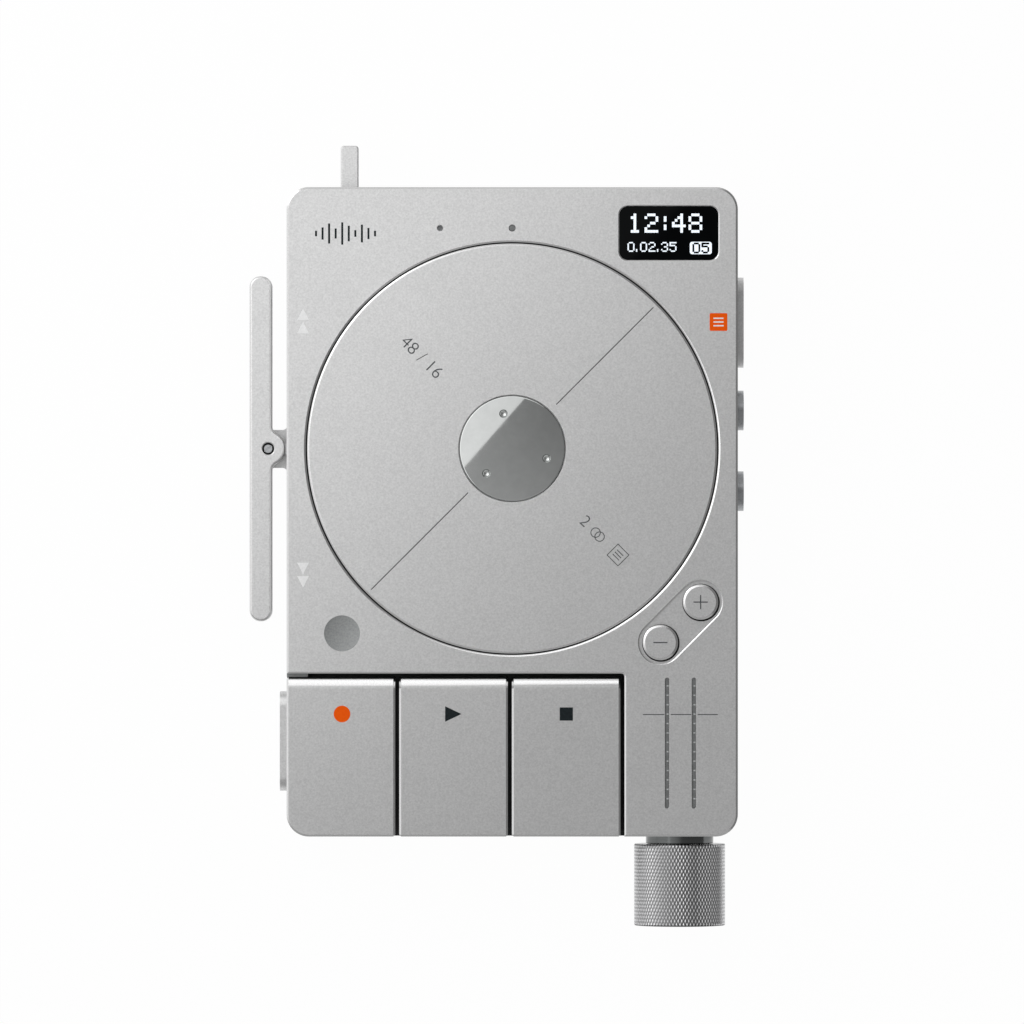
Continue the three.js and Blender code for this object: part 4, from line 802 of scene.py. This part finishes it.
# %% [markdown]
# ## The rocker
# A long bar stands off the left side, carried by a round hub and a slotted screw. The bar's ends are
# half rounds, small fillets run from bar to hub, and all its edges are softened. Its outline is one
# run of five arcs, so the fillets are true tangents, and the outline is then raised into a pillow.

# %% Rocker lever
rocker_low, rocker_high = span("rocker_lever")
BAR_WIDTH, HUB_RADIUS, ROCKER_EDGE, FILLET = 3.35, 2.5, 0.42, 1.2
COUNTERBORE, COUNTERBORE_DEPTH, COUNTERBORE_RIM = 0.9, 1.05, 0.1
bar_x = rocker_low.x + BAR_WIDTH / 2
bar_reach = (rocker_high.y - rocker_low.y - BAR_WIDTH) / 2
fillet_x = bar_x + BAR_WIDTH / 2 + FILLET
fillet_y = math.sqrt((HUB_RADIUS + FILLET) ** 2 - (fillet_x - pivot.x) ** 2)
fillet_turn = math.atan2(fillet_y, fillet_x - pivot.x)
lever = pillow([
    *arc(bar_x, reel.y + bar_reach, BAR_WIDTH / 2, 0, math.pi, 32),
    *arc(bar_x, reel.y - bar_reach, BAR_WIDTH / 2, math.pi, math.tau, 32),
    *arc(fillet_x, reel.y - fillet_y, FILLET, math.pi, math.pi - fillet_turn, 16),
    *arc(pivot.x, reel.y, HUB_RADIUS, -fillet_turn, fillet_turn, 40)[1:-1],
    *arc(fillet_x, reel.y + fillet_y, FILLET, math.pi + fillet_turn, math.pi, 16),
], rocker_low.z, rocker_high.z, ROCKER_EDGE)
finger = slab(rocker_high.x - pivot.x, 1.6, MIDDLE - 1, MIDDLE + 1, 0,
              at=((rocker_high.x + pivot.x) / 2, reel.y))
screw_hole = disc(0.65, rocker_low.z - 1, rocker_high.z + 1, 32, at=pivot.xy)
counterbore = disc(COUNTERBORE, rocker_high.z - COUNTERBORE_DEPTH, rocker_high.z - COUNTERBORE_RIM, 48)
flare(counterbore, 0.14, COUNTERBORE_RIM)
lever = combined(combined(lever, [finger], "UNION"), [screw_hole, moved(counterbore, pivot.x, pivot.y)])
mark(lever, is_rim, CUT)
# Painted shade: the counterbore's wall and floor get the black ABS finish.
mark(lever, lambda face: (face.calc_center_median().xy - pivot.xy).length < COUNTERBORE + 0.02
     and face.calc_center_median().z < rocker_high.z - 0.15, PAINTED_SHADE)
finished(lever, "rocker_bar", [aluminium, cut_edge, moulded], "rocker", "rocker_lever")

# %% [markdown]
# The bracket keeps its CAD shape with its edges broken. The screw is turned, so it is spun, and a
# thin slab cuts its slot.

# %% Rocker bracket and pivot screw
softened("rocker_bracket", "rocker_bracket_milled", aluminium, edge=0.15)
screw_low, screw_high = span("rocker_pivot_screw")
THREAD, HEAD, HEAD_HEIGHT = 0.45, 0.68, 0.6
length = screw_high.z - screw_low.z
head = spun([(0, 0), (THREAD, 0), (THREAD, length - HEAD_HEIGHT), (HEAD, length - HEAD_HEIGHT),
             (HEAD, length - 0.1), (HEAD - 0.08, length), (0, length)], 48)
slot_cut = slab(2, 0.2, length - 0.25, length + 1, 0)
head = combined(head, [moved(slot_cut, turn=math.radians(35))])
finished(moved(head, pivot.x, pivot.y, screw_low.z), "pivot_screw", screw_steel, "housing",
         "rocker_pivot_screw")

# %% [markdown]
# ## Side buttons and the mode lever
# The side buttons stand 1 mm proud with well-rounded edges: the long ones are pills of the same
# aluminium, and the two round ones are machined steel. A flange behind the wall keeps each in place.

# %% Side buttons
FLANGE, FLANGE_FRONT, FLANGE_BACK, SIDE_EDGE = 0.55, -WALL - 0.15, -WALL - 0.95, 0.8
for node in SIDE_BUTTONS:
    low, high = span(node)
    place = (low + high) / 2
    side = 1 if place.x > 0 else -1
    height, length = high.z - low.z, high.y - low.y
    proud = max(abs(low.x), abs(high.x)) - RIGHT
    inner_face = RIGHT - min(abs(low.x), abs(high.x))
    cap_height, cap_length = height - 2 * FLANGE, length - 2 * FLANGE
    button = slab(cap_height, cap_length, -WALL - 0.6, proud, min(cap_height, cap_length) * HALF_ROUND, 20)
    round_edges(button, rim(button, proud), min(SIDE_EDGE, cap_height * 0.45), 6)
    flange = slab(height, length, FLANGE_BACK, FLANGE_FRONT, min(height, length) * HALF_ROUND, 12)
    stem = disc(STEM, -inner_face, -WALL - 0.5, 24)
    if node == "left_side_key":
        moved(stem, x=place.z - MIDDLE)
    button = combined(button, [flange, stem], "UNION")
    moved(button, side * RIGHT, place.y, place.z, side * QUARTER, "Y")
    metal = screw_steel if node in ("upper_side_button", "lower_side_button") else aluminium
    finished(button, f"{node}_cap", metal, node, node)

# %% [markdown]
# The mode lever is a small flat paddle that stands up out of the top edge. Its round root and pin lie
# across it, and it flips about them.

# %% Mode lever
PADDLE_LENGTH, PADDLE_HALF, ROOT, PIN, PIN_HALF = 10.86, 0.9, 1.2, 0.5, 2.2
paddle_top = span("mode_lever")[1].y
root_y = paddle_top - PADDLE_LENGTH
paddle = slab(MODE_WIDTH, paddle_top - root_y, MIDDLE - PADDLE_HALF, MIDDLE + PADDLE_HALF, 0.45, 8,
              at=(mode.x, (paddle_top + root_y) / 2))
round_edges(paddle, rim(paddle, MIDDLE + PADDLE_HALF) + rim(paddle, MIDDLE - PADDLE_HALF), 0.22, 4)
root = moved(disc(ROOT, -MODE_WIDTH / 2, MODE_WIDTH / 2, 40), mode.x, root_y, MIDDLE, QUARTER, "Y")
pin = moved(disc(PIN, -PIN_HALF, PIN_HALF, 24), mode.x, root_y, MIDDLE, QUARTER, "Y")
paddle = combined(paddle, [root, pin], "UNION")
finished(paddle, "mode_paddle", aluminium, "mode", "mode_lever")

# %% [markdown]
# ## Sockets, back cover and screws
# Each jack is a moulded box behind the wall with a round sleeve in front. The sleeve is spun, bored
# and flared at its mouth, and a tunnel through the box makes room for it before the two are joined.
# The USB socket stays as the CAD made it, in turned steel.

# %% Sockets
SLEEVE, JACK_BORE, JACK_RIM = 2.3, 1.78, 0.12
for index in (1, 2, 3):
    jack = centre(f"audio_jack_{index}")
    low, high = span(f"audio_jack_{index}")
    length = high.y - low.y
    socket = spun([(0, 0), (SLEEVE, 0), (SLEEVE, length - 0.25), (SLEEVE - 0.25, length), (0, length)], 64)
    bore = flare(disc(JACK_BORE, 1.5, length - JACK_RIM, 48), JACK_RIM, JACK_RIM)
    socket = moved(combined(socket, [bore]), jack.x, low.y, MIDDLE, -QUARTER, "X")
    shell = slab(6, 12, 5.5, 10.5, 0.4, 3, at=(jack.x, low.y + 6))
    tunnel = moved(disc(2.2, -20, 20, 48), jack.x, low.y + 21.5, MIDDLE, QUARTER, "X")
    socket = combined(combined(shell, [tunnel]), [socket], "UNION")
    finished(socket, f"jack_{index}_socket", moulded, "housing", f"audio_jack_{index}")
softened("usb_socket", "usb_c_socket", turned_steel, edge=0)

# %% [markdown]
# The back cover is a blasted sheet with 19 holes over the loudspeaker, and four countersunk screws
# hold it. Their CAD shapes are right, so only the edges that a hand can feel are broken.

# %% Back cover and its screws
softened("rear_cover", "blasted_back_cover", aluminium, edge=0.08, chosen=lambda middle: middle.z < 0.01)
for index in (1, 2, 3, 4):
    softened(f"rear_screw_{index}", f"back_screw_{index}", screw_steel, edge=0.06)

# %% [markdown]
# ## The screen and the meters
# The glass is set level with the face. Behind it a small white-on-black display shows a clock, a
# counter and a take number, in digits five dots wide and seven high, as a dot display draws them.

# %% Cover glass
pane = slab(screen_size.x, screen_size.y, screen_low.z, screen_high.z, SCREEN_CORNER, 16, at=screen.xy)
round_edges(pane, rim(pane, screen_high.z), 0.1, 3)
finished(pane, "cover_glass", black_glass, "housing", "screen_window", sharp=50)

# %% [markdown]
# A dot display has no curves: each digit is a pattern of lit squares. The patterns are written as
# rows of ones and noughts, and one small block is placed for each lit dot, a film above the glass.

# %% Dot-matrix digits
DIGITS = {
    "0": "01110 10001 10001 10001 10001 10001 01110", "1": "00100 01100 00100 00100 00100 00100 01110",
    "2": "01110 10001 00001 00110 01000 10000 11111", "3": "01110 10001 00001 00110 00001 10001 01110",
    "4": "00010 00110 01010 10010 11111 00010 00010", "5": "11111 10000 11110 00001 00001 10001 01110",
    "8": "01110 10001 10001 01110 10001 10001 01110", ":": "000 010 010 000 010 010 000",
    ".": "00 00 00 00 00 10 10",
}


def brick(bm, place, size):
    """Adds a small block to a shape, centred on a place."""
    matrix = Matrix.Translation(place) @ Matrix.Diagonal((*size, 1))
    bmesh.ops.create_cube(bm, size=1, matrix=matrix)


def dots(text, left, top, pitch, height, boldness=0.96):
    """One square for each lit dot, in rows below the top left corner."""
    bm = bmesh.new()
    for digit in text:
        lines = DIGITS[digit].split()
        for row, line in enumerate(lines):
            for column, dot in enumerate(line):
                if dot == "1":
                    brick(bm, (left + (column + 0.5) * pitch, top - (row + 0.5) * pitch, height - FILM / 2),
                          (pitch * boldness, pitch * boldness, FILM))
        left += (len(lines[0]) + 1) * pitch
    return bm


VIEW_MIDDLE_X, VIEW_MIDDLE_Y = 512.2, 511.8


def at_pixel(x, y):
    """Where a pixel of the front view lies on the face."""
    return (x - VIEW_MIDDLE_X) * PX, (VIEW_MIDDLE_Y - y) * PX


big_left, big_top = at_pixel(628, 213.5)
small_left, small_top = at_pixel(627.5, 242)
take_x, take_y = at_pixel(700.8, 248)
clock = dots("12:48", big_left, big_top, 2.75 * PX, FACE + FILM)
counter = dots("0.02.35", small_left, small_top, 1.4 * PX, FACE + FILM)
badge = slab(22 * PX, 12.4 * PX, FACE, FACE + FILM, 2.5 * PX, 8, at=(take_x, take_y))
take = dots("05", take_x - 8.2 * PX, take_y + 5.25 * PX, 1.5 * PX, FACE + 2 * FILM, 1.25)
for shape, name, look in ((clock, "clock", lit), (counter, "counter", lit), (badge, "badge", lit),
                          (take, "take", black_glass)):
    finished(shape, f"display_{name}", look)

# %% [markdown]
# Each meter is a strip of smoked acrylic in its slot. Light passes in fourteen steps, and a thin
# pale rib on the right of the strip parts each step from the next.

# %% Level meters
STEPS, STRIP_GAP, RIB_SIZE, RIB_PLACE = 14, 0.1, (0.3, 0.2, 0.06), Vector((0.09, 0.22, 0.03))
strip_width, rib_pitch = SLOT_WIDTH - STRIP_GAP, (slot_high.y - slot_low.y) / STEPS
for node, x in zip(("left_level_guide", "right_level_guide"), meter_xs):
    low, high = span(node)
    strip = slab(strip_width, slot_length - STRIP_GAP, 13.6, high.z, strip_width * HALF_ROUND, 8,
                 at=(x, slot_y))
    base = slab(high.x - low.x, high.y - low.y, UNDER_FACE, 14.5, 0, at=centre(node).xy)
    finished(combined(base, [strip], "UNION"), f"{node}_strip", smoked, "housing", node)
    ribs = bmesh.new()
    for step in range(1, STEPS):
        brick(ribs, Vector((x, slot_high.y - step * rib_pitch, high.z)) + RIB_PLACE, RIB_SIZE)
    finished(ribs, f"{node}_ribs", rib_ink)

# %% [markdown]
# ## Printed marks
# Each mark is a film of ink a hundredth of a millimetre thick, so it is modelled as one: a flat
# shape made from circles, strokes and triangles, drawn down to the surface that it lies on.

# %% Mark helpers
def film(bm, height=FACE):
    """Gives flat shapes the thickness of ink above a surface."""
    raised = bmesh.ops.extrude_face_region(bm, geom=list(bm.faces))["geom"]
    top_verts = {v for v in raised if isinstance(v, bmesh.types.BMVert)}
    for vert in bm.verts:
        vert.co.z = height + (FILM if vert in top_verts else -FILM / 2)
    return bm


def placed(x, y, angle=0.0):
    return Matrix.Translation((x, y, 0)) @ Matrix.Rotation(angle, 4, "Z")


def stroke(bm, x, y, length, width, angle=0.0):
    bmesh.ops.create_grid(bm, x_segments=1, y_segments=1, size=0.5,
                          matrix=placed(x, y, angle) @ Matrix.Diagonal((length, width, 1, 1)))


def triangle(bm, x, y, across, along, angle=0.0):
    """A triangle that points along its angle, centred on its own box."""
    size = Matrix.Diagonal((along / 1.5, across / math.sqrt(3), 1, 1))
    bmesh.ops.create_circle(bm, cap_ends=True, segments=3, radius=1,
                            matrix=placed(x, y, angle) @ size @ placed(-0.25, 0, -QUARTER))


def dot(bm, x, y, radius):
    bmesh.ops.create_circle(bm, cap_ends=True, segments=64, radius=radius, matrix=placed(x, y))


def outline(bm, x, y, size, width, sides=4, angle=0.0):
    """A ring or a square frame, of the given half size and stroke."""
    reach, turn = (math.sqrt(2), QUARTER / 2) if sides == 4 else (1, 0)
    made = bmesh.ops.create_circle(bm, cap_ends=True, segments=sides, radius=size * reach,
                                   matrix=placed(x, y, angle + turn))
    face = made["verts"][0].link_faces[0]
    bmesh.ops.inset_individual(bm, faces=[face], thickness=width, depth=0, use_even_offset=True)
    bmesh.ops.delete(bm, geom=[face], context="FACES_ONLY")


def lettering(bm, text, x, y, height, angle=0.0):
    """Thinned digits from Blender's own typeface, made a mesh before they are put in place."""
    curve = bpy.data.curves.new("lettering", "FONT")
    curve.body, curve.offset, curve.resolution_u = text, -0.012, 6
    curve.align_x = curve.align_y = "CENTER"
    words = bpy.data.objects.new("lettering", curve)
    bpy.context.scene.collection.objects.link(words)
    graph = bpy.context.evaluated_depsgraph_get()
    letters = bmesh.new()
    letters.from_mesh(words.evaluated_get(graph).to_mesh())
    bpy.data.objects.remove(words)
    bpy.data.curves.remove(curve)
    tall = max(v.co.y for v in letters.verts) - min(v.co.y for v in letters.verts)
    bmesh.ops.remove_doubles(letters, verts=letters.verts, dist=1e-5)
    bmesh.ops.transform(letters, verts=letters.verts,
                        matrix=placed(x, y, angle) @ Matrix.Scale(height / tall, 4))
    part = bpy.data.meshes.new("lettering")
    letters.to_mesh(part)
    letters.free()
    bm.from_mesh(part)
    bpy.data.meshes.remove(part)


# %% [markdown]
# On the keys: an orange dot to record, a triangle to play and a square to stop, the signs that
# every tape machine has carried.

# %% Signs on the keys
SIGN_Y = at_pixel(0, 714)[1]
record_sign, play_sign, stop_sign = bmesh.new(), bmesh.new(), bmesh.new()
dot(record_sign, at_pixel(342, 0)[0], SIGN_Y, 1.23)
finished(film(record_sign), "record_sign", orange_ink, "record_key")
triangle(play_sign, at_pixel(453.3, 0)[0], SIGN_Y, 2.3, 2.42)
finished(film(play_sign), "play_sign", dark_ink, "play_key")
stroke(stop_sign, at_pixel(566.3, 0)[0], SIGN_Y, 1.95, 1.95)
finished(film(stop_sign), "stop_sign", dark_ink, "stop_key")

SIGN_LENGTH, SIGN_STROKE = 2.1, 0.17
for node, place in (("plus_button", plus), ("minus_button", minus)):
    sign = bmesh.new()
    stroke(sign, place.x, place.y, SIGN_LENGTH, SIGN_STROKE)
    if node == "plus_button":
        gap = (SIGN_LENGTH - SIGN_STROKE) / 4
        for way in (1, -1):
            stroke(sign, place.x, place.y + way * (gap + SIGN_STROKE / 2), 2 * gap, SIGN_STROKE, QUARTER)
    finished(film(sign, span(node)[1].z - FILM), f"{node}_sign", line_ink, node)

# %% [markdown]
# On the face: a small waveform at the upper left, white arrows for winding beside the rocker,
# an orange patch with three list lines beside the memo button, and the zero line of the meters.

# %% Signs on the face
wave = bmesh.new()
WAVE_HEIGHTS = (0.25, 0.55, 0.9, 0.45, 1.0, 0.7, 0.3, 0.8, 0.5, 0.25)
WAVE_REACH, WAVE_STROKE = 3.3, 0.3
(wave_left, wave_y), wave_right = at_pixel(316, 233.5), at_pixel(375, 0)[0]
for index, share in enumerate(WAVE_HEIGHTS):
    x = wave_left + (wave_right - wave_left) * index / (len(WAVE_HEIGHTS) - 1)
    stroke(wave, x, wave_y, WAVE_REACH * share, WAVE_STROKE, QUARTER)
finished(film(wave), "waveform_mark", dark_ink)

arrows = bmesh.new()
for y, way in ((314.2, 1), (327.5, 1), (568.5, -1), (581.8, -1)):
    triangle(arrows, *at_pixel(303, y), 1.75, 1.72, way * QUARTER)
finished(film(arrows), "winding_arrows", white_ink)

patch_x, patch_y = at_pixel(718.5, 322)
PATCH_SIZE, PATCH_PITCH = 2.62, 0.55
patch = slab(PATCH_SIZE, PATCH_SIZE, FACE - FILM / 2, FACE + FILM, 0.18, 4, at=(patch_x, patch_y))
finished(patch, "memo_patch", orange_ink)
memo_lines = bmesh.new()
for row in (-1, 0, 1):
    stroke(memo_lines, patch_x, patch_y + row * PATCH_PITCH, 1.5, 0.2)
finished(film(memo_lines, FACE + FILM), "memo_lines", white_ink)

zero = bmesh.new()
ZERO_FROM, ZERO_TO, BEFORE_SLOT, AFTER_SLOT = 19.3, 30.4, 0.4, 0.55
for start, end in zip((ZERO_FROM, *[x + AFTER_SLOT for x in meter_xs]),
                      (*[x - BEFORE_SLOT for x in meter_xs], ZERO_TO)):
    stroke(zero, (start + end) / 2, SIGN_Y - 0.08, end - start, 0.13)
finished(film(zero), "meter_zero_line", line_ink)

# %% [markdown]
# On the reel, read along its engraved line's normal: a recording quality as two plain numbers, and
# lower down a track number, two linked rings for stereo and a framed list sign.

# %% Signs on the reel
DOWNHILL = -QUARTER / 2
reading, uphill = (Vector((math.cos(turn), math.sin(turn))) for turn in (DOWNHILL, DOWNHILL + QUARTER))
reel_marks = bmesh.new()
lettering(reel_marks, "48 / 16", *at_pixel(421.5, 357.5), 1.85, DOWNHILL)
lettering(reel_marks, "2", *at_pixel(585, 521.5), 1.7, DOWNHILL)
RING_SHIFT, ROW_PITCH = 0.42, 0.45
for way in (-1, 1):
    outline(reel_marks, *(Vector(at_pixel(597.6, 534.6)) + way * RING_SHIFT * reading), 0.76, 0.13, 40)
list_frame = Vector(at_pixel(618, 555))
outline(reel_marks, *list_frame, 1.2, 0.12, 4, DOWNHILL)
for row in (-1, 0, 1):
    stroke(reel_marks, *(list_frame + row * ROW_PITCH * uphill), 1.3, 0.13, DOWNHILL)
finished(film(reel_marks), "reel_marks", line_ink, "reel")

# %% [markdown]
# ## The pieces that stay as the CAD made them
# Inner parts keep their CAD shape and only get their finish, in the slot that each already has.

# %% Finishes of the CAD pieces
inner_finishes = {
    board: ["main_board", "level_board"],
    pouch: ["battery"],
    copper: ["motor_stator"],
    screw_steel: ["reel_spindle", "upper_bearing", "lower_bearing", "motor_bell", "volume_shaft",
                  "microphone"],
    smoked: ["status_light_pipe"],
    moulded: ["speaker", "motor_magnet", "display_module", "volume_encoder", "mode_switch", "rocker_switch"]
    + [f"{name}_switch" for name in ("record_key", "play_key", "stop_key", "plus", "minus", "memo",
                                     "upper_side", "lower_side", "left_side")],
}
for material, names in inner_finishes.items():
    for name in names:
        for place in nodes[name].material_slots:
            place.material = material
print(sum(len(names) for names in inner_finishes.values()), "CAD pieces finished")

# %% [markdown]
# ## Camera, light and table
# The camera looks straight down through a long lens, so that the body's sides stay hidden and its
# outline keeps its true shape. One broad soft light hangs close over the upper left: its straight
# edge lies over the reel, and the polished cap shows that edge as a line between light and dark.

# %% Camera
VIEW_WIDTH, CAMERA_HEIGHT, SENSOR, VIEW_SHIFT = 151.34, 1500.0, 36.0, -0.03
camera_data = bpy.data.cameras.new("camera")
camera_data.sensor_width = SENSOR
camera_data.lens = SENSOR * CAMERA_HEIGHT / VIEW_WIDTH
camera_data.clip_end = 20
camera = bpy.data.objects.new("camera", camera_data)
camera.location = (VIEW_SHIFT * MM, VIEW_SHIFT * MM, (CAMERA_HEIGHT + FACE) * MM)
bpy.context.scene.collection.objects.link(camera)
bpy.context.scene.camera = camera


# %% [markdown]
# Each lamp is a flat panel, as a softbox is, and its power follows from how bright its surface should
# look. A smaller, brighter lamp stands further out on the same side, and draws the bright line along
# each rim that faces it.

# %% Lamps
def panel(name, width, length, radiance, place, target, turn=0.0):
    """A flat soft light that faces a point, with its size in metres and its brightness as radiance."""
    lamp = bpy.data.lights.new(name, "AREA")
    lamp.shape, lamp.size, lamp.size_y = "RECTANGLE", width, length
    lamp.energy = radiance * math.pi * width * length
    thing = bpy.data.objects.new(name, lamp)
    thing.location = place
    facing = (Vector(target) - Vector(place)).to_track_quat("-Z", "Y").to_matrix().to_4x4()
    thing.matrix_world = Matrix.Translation(place) @ facing @ Matrix.Rotation(turn, 4, "Z")
    thing.visible_camera = False
    bpy.context.scene.collection.objects.link(thing)


PANEL_HEIGHT, PANEL_WIDTH, PANEL_LENGTH, PANEL_EDGE, PANEL_RADIANCE = 0.12, 0.20, 0.45, 0.0060, 0.67
PANEL_TURN = math.radians(-41.2)
reach = PANEL_LENGTH / 2 + PANEL_EDGE
over = (-reach * math.cos(PANEL_TURN), reel.y * MM - reach * math.sin(PANEL_TURN), PANEL_HEIGHT + FACE * MM)
panel("overhead_panel", PANEL_LENGTH, PANEL_WIDTH, PANEL_RADIANCE, over, (over[0], over[1], 0), PANEL_TURN)
RIM_LAMP_WIDTH, RIM_LAMP_LENGTH, RIM_RADIANCE, RIM_LAMP_PLACE = 0.30, 0.12, 1.2, (-0.42, 0.42, 0.36)
panel("rim_lamp", RIM_LAMP_WIDTH, RIM_LAMP_LENGTH, RIM_RADIANCE, RIM_LAMP_PLACE, (0, 0, 0))

# %% [markdown]
# The room round the table has one window, on the upper left, and darkens towards the lower right. A
# grey screen stands on the upper right. The metal mirrors all that, so every rim that turns away from
# the window has a dark side, and the polished cap darkens softly towards the screen.

# %% Room light
world = bpy.data.worlds.new("room_with_one_window")
world.use_nodes = True
world.node_tree.nodes.clear()
bpy.context.scene.world = world
WINDOW, SCREEN = Vector((-1, 1, 0.5)).normalized(), Vector((1, 1, 0)).normalized()
ROOM_LEVELS = ((0.0, 0.28), (0.08, 0.3), (0.15, 0.37), (0.325, 0.33), (0.667, 0.385), (1.0, 0.42))
WINDOW_LEVELS = ((0.0, 0.0), (0.667, 0.0), (0.8, 0.36), (0.86, 0.5), (1.0, 0.56))
SCREEN_EDGE, OPEN_SIDE, SCREENED_SIDE = 0.045, 1.2, 0.62


def light_levels(factor, levels, strength):
    """A world light whose brightness follows a list of (place, brightness)."""
    brightest = max(brightness for _, brightness in levels)
    ramp = shader(world, "ShaderNodeValToRGB", Fac=factor)
    for index, (place, brightness) in enumerate(levels):
        stop = ramp.color_ramp.elements[index] if index in (0, 1) else ramp.color_ramp.elements.new(place)
        stop.position, stop.color = place, level(brightness / brightest)
    strength = shader(world, "ShaderNodeMath", {"operation": "MULTIPLY"}, _0=strength, _1=brightest)
    return shader(world, "ShaderNodeBackground", Color=ramp.outputs[0], Strength=strength.outputs[0])


direction = shader(world, "ShaderNodeTexCoord").outputs["Generated"]
toward = shader(world, "ShaderNodeVectorMath", {"operation": "DOT_PRODUCT"}, _0=direction, _1=WINDOW)
share = shader(world, "ShaderNodeMapRange", Value=toward.outputs["Value"], From_Min=-1.0, From_Max=1.0)
beside = shader(world, "ShaderNodeVectorMath", {"operation": "DOT_PRODUCT"}, _0=direction, _1=SCREEN)
shade = shader(world, "ShaderNodeMapRange", Value=beside.outputs["Value"], From_Min=-SCREEN_EDGE,
               From_Max=SCREEN_EDGE, To_Min=OPEN_SIDE, To_Max=SCREENED_SIDE)
room = light_levels(share.outputs[0], ROOM_LEVELS, shade.outputs[0])
window = light_levels(share.outputs[0], WINDOW_LEVELS, 1.0)
both = shader(world, "ShaderNodeAddShader", _0=room.outputs[0], _1=window.outputs[0])
shader(world, "ShaderNodeOutputWorld", Surface=both.outputs[0])

# %% [markdown]
# The table is white paper. The camera, and metal or glass that mirrors it, see it lifted towards
# pure white, while the soft shadow at the recorder's foot stays in its shading. It lies a hair below
# the back cover, because two surfaces in one plane would flicker into each other, and its underside
# is clear, so that the back cover can be looked at from below.

# %% Table
table_mesh = bpy.data.meshes.new("table")
sheet = bmesh.new()
TABLE_GAP, TABLE_HALF, TABLE_LIFT = 0.05, 4, 0.975
bmesh.ops.create_grid(sheet, x_segments=1, y_segments=1, size=TABLE_HALF,
                      matrix=Matrix.Translation((0, 0, -TABLE_GAP * MM)))
sheet.to_mesh(table_mesh)
sheet.free()
table = bpy.data.objects.new("table", table_mesh)
bpy.context.scene.collection.objects.link(table)
paper = blank("white_paper_table")
fibre = between(paper, grain(paper, 2.0, 3.0), linear("#F6F6F6"), linear("#FBFBFB"))
diffuse = shader(paper, "ShaderNodeBsdfDiffuse", Color=fibre)
glow = shader(paper, "ShaderNodeEmission", Color=linear("#FFFFFF"), Strength=1.0)
seen = shader(paper, "ShaderNodeLightPath")
watched = seen.outputs["Is Camera Ray"]
for ray in ("Is Glossy Ray", "Is Transmission Ray"):
    watched = shader(paper, "ShaderNodeMath", {"operation": "MAXIMUM"}, _0=watched,
                     _1=seen.outputs[ray]).outputs[0]
lifted = shader(paper, "ShaderNodeMath", {"operation": "MULTIPLY"}, _0=watched, _1=TABLE_LIFT)
mixed = shader(paper, "ShaderNodeMixShader", _0=lifted.outputs[0], _1=diffuse.outputs[0], _2=glow.outputs[0])
under = shader(paper, "ShaderNodeNewGeometry").outputs["Backfacing"]
clear = shader(paper, "ShaderNodeBsdfTransparent")
one_way = shader(paper, "ShaderNodeMixShader", _0=under, _1=mixed.outputs[0], _2=clear.outputs[0])
shader(paper, "ShaderNodeOutputMaterial", Surface=one_way.outputs[0])
table_mesh.materials.append(paper)

bpy.context.scene.view_settings.view_transform = "Standard"
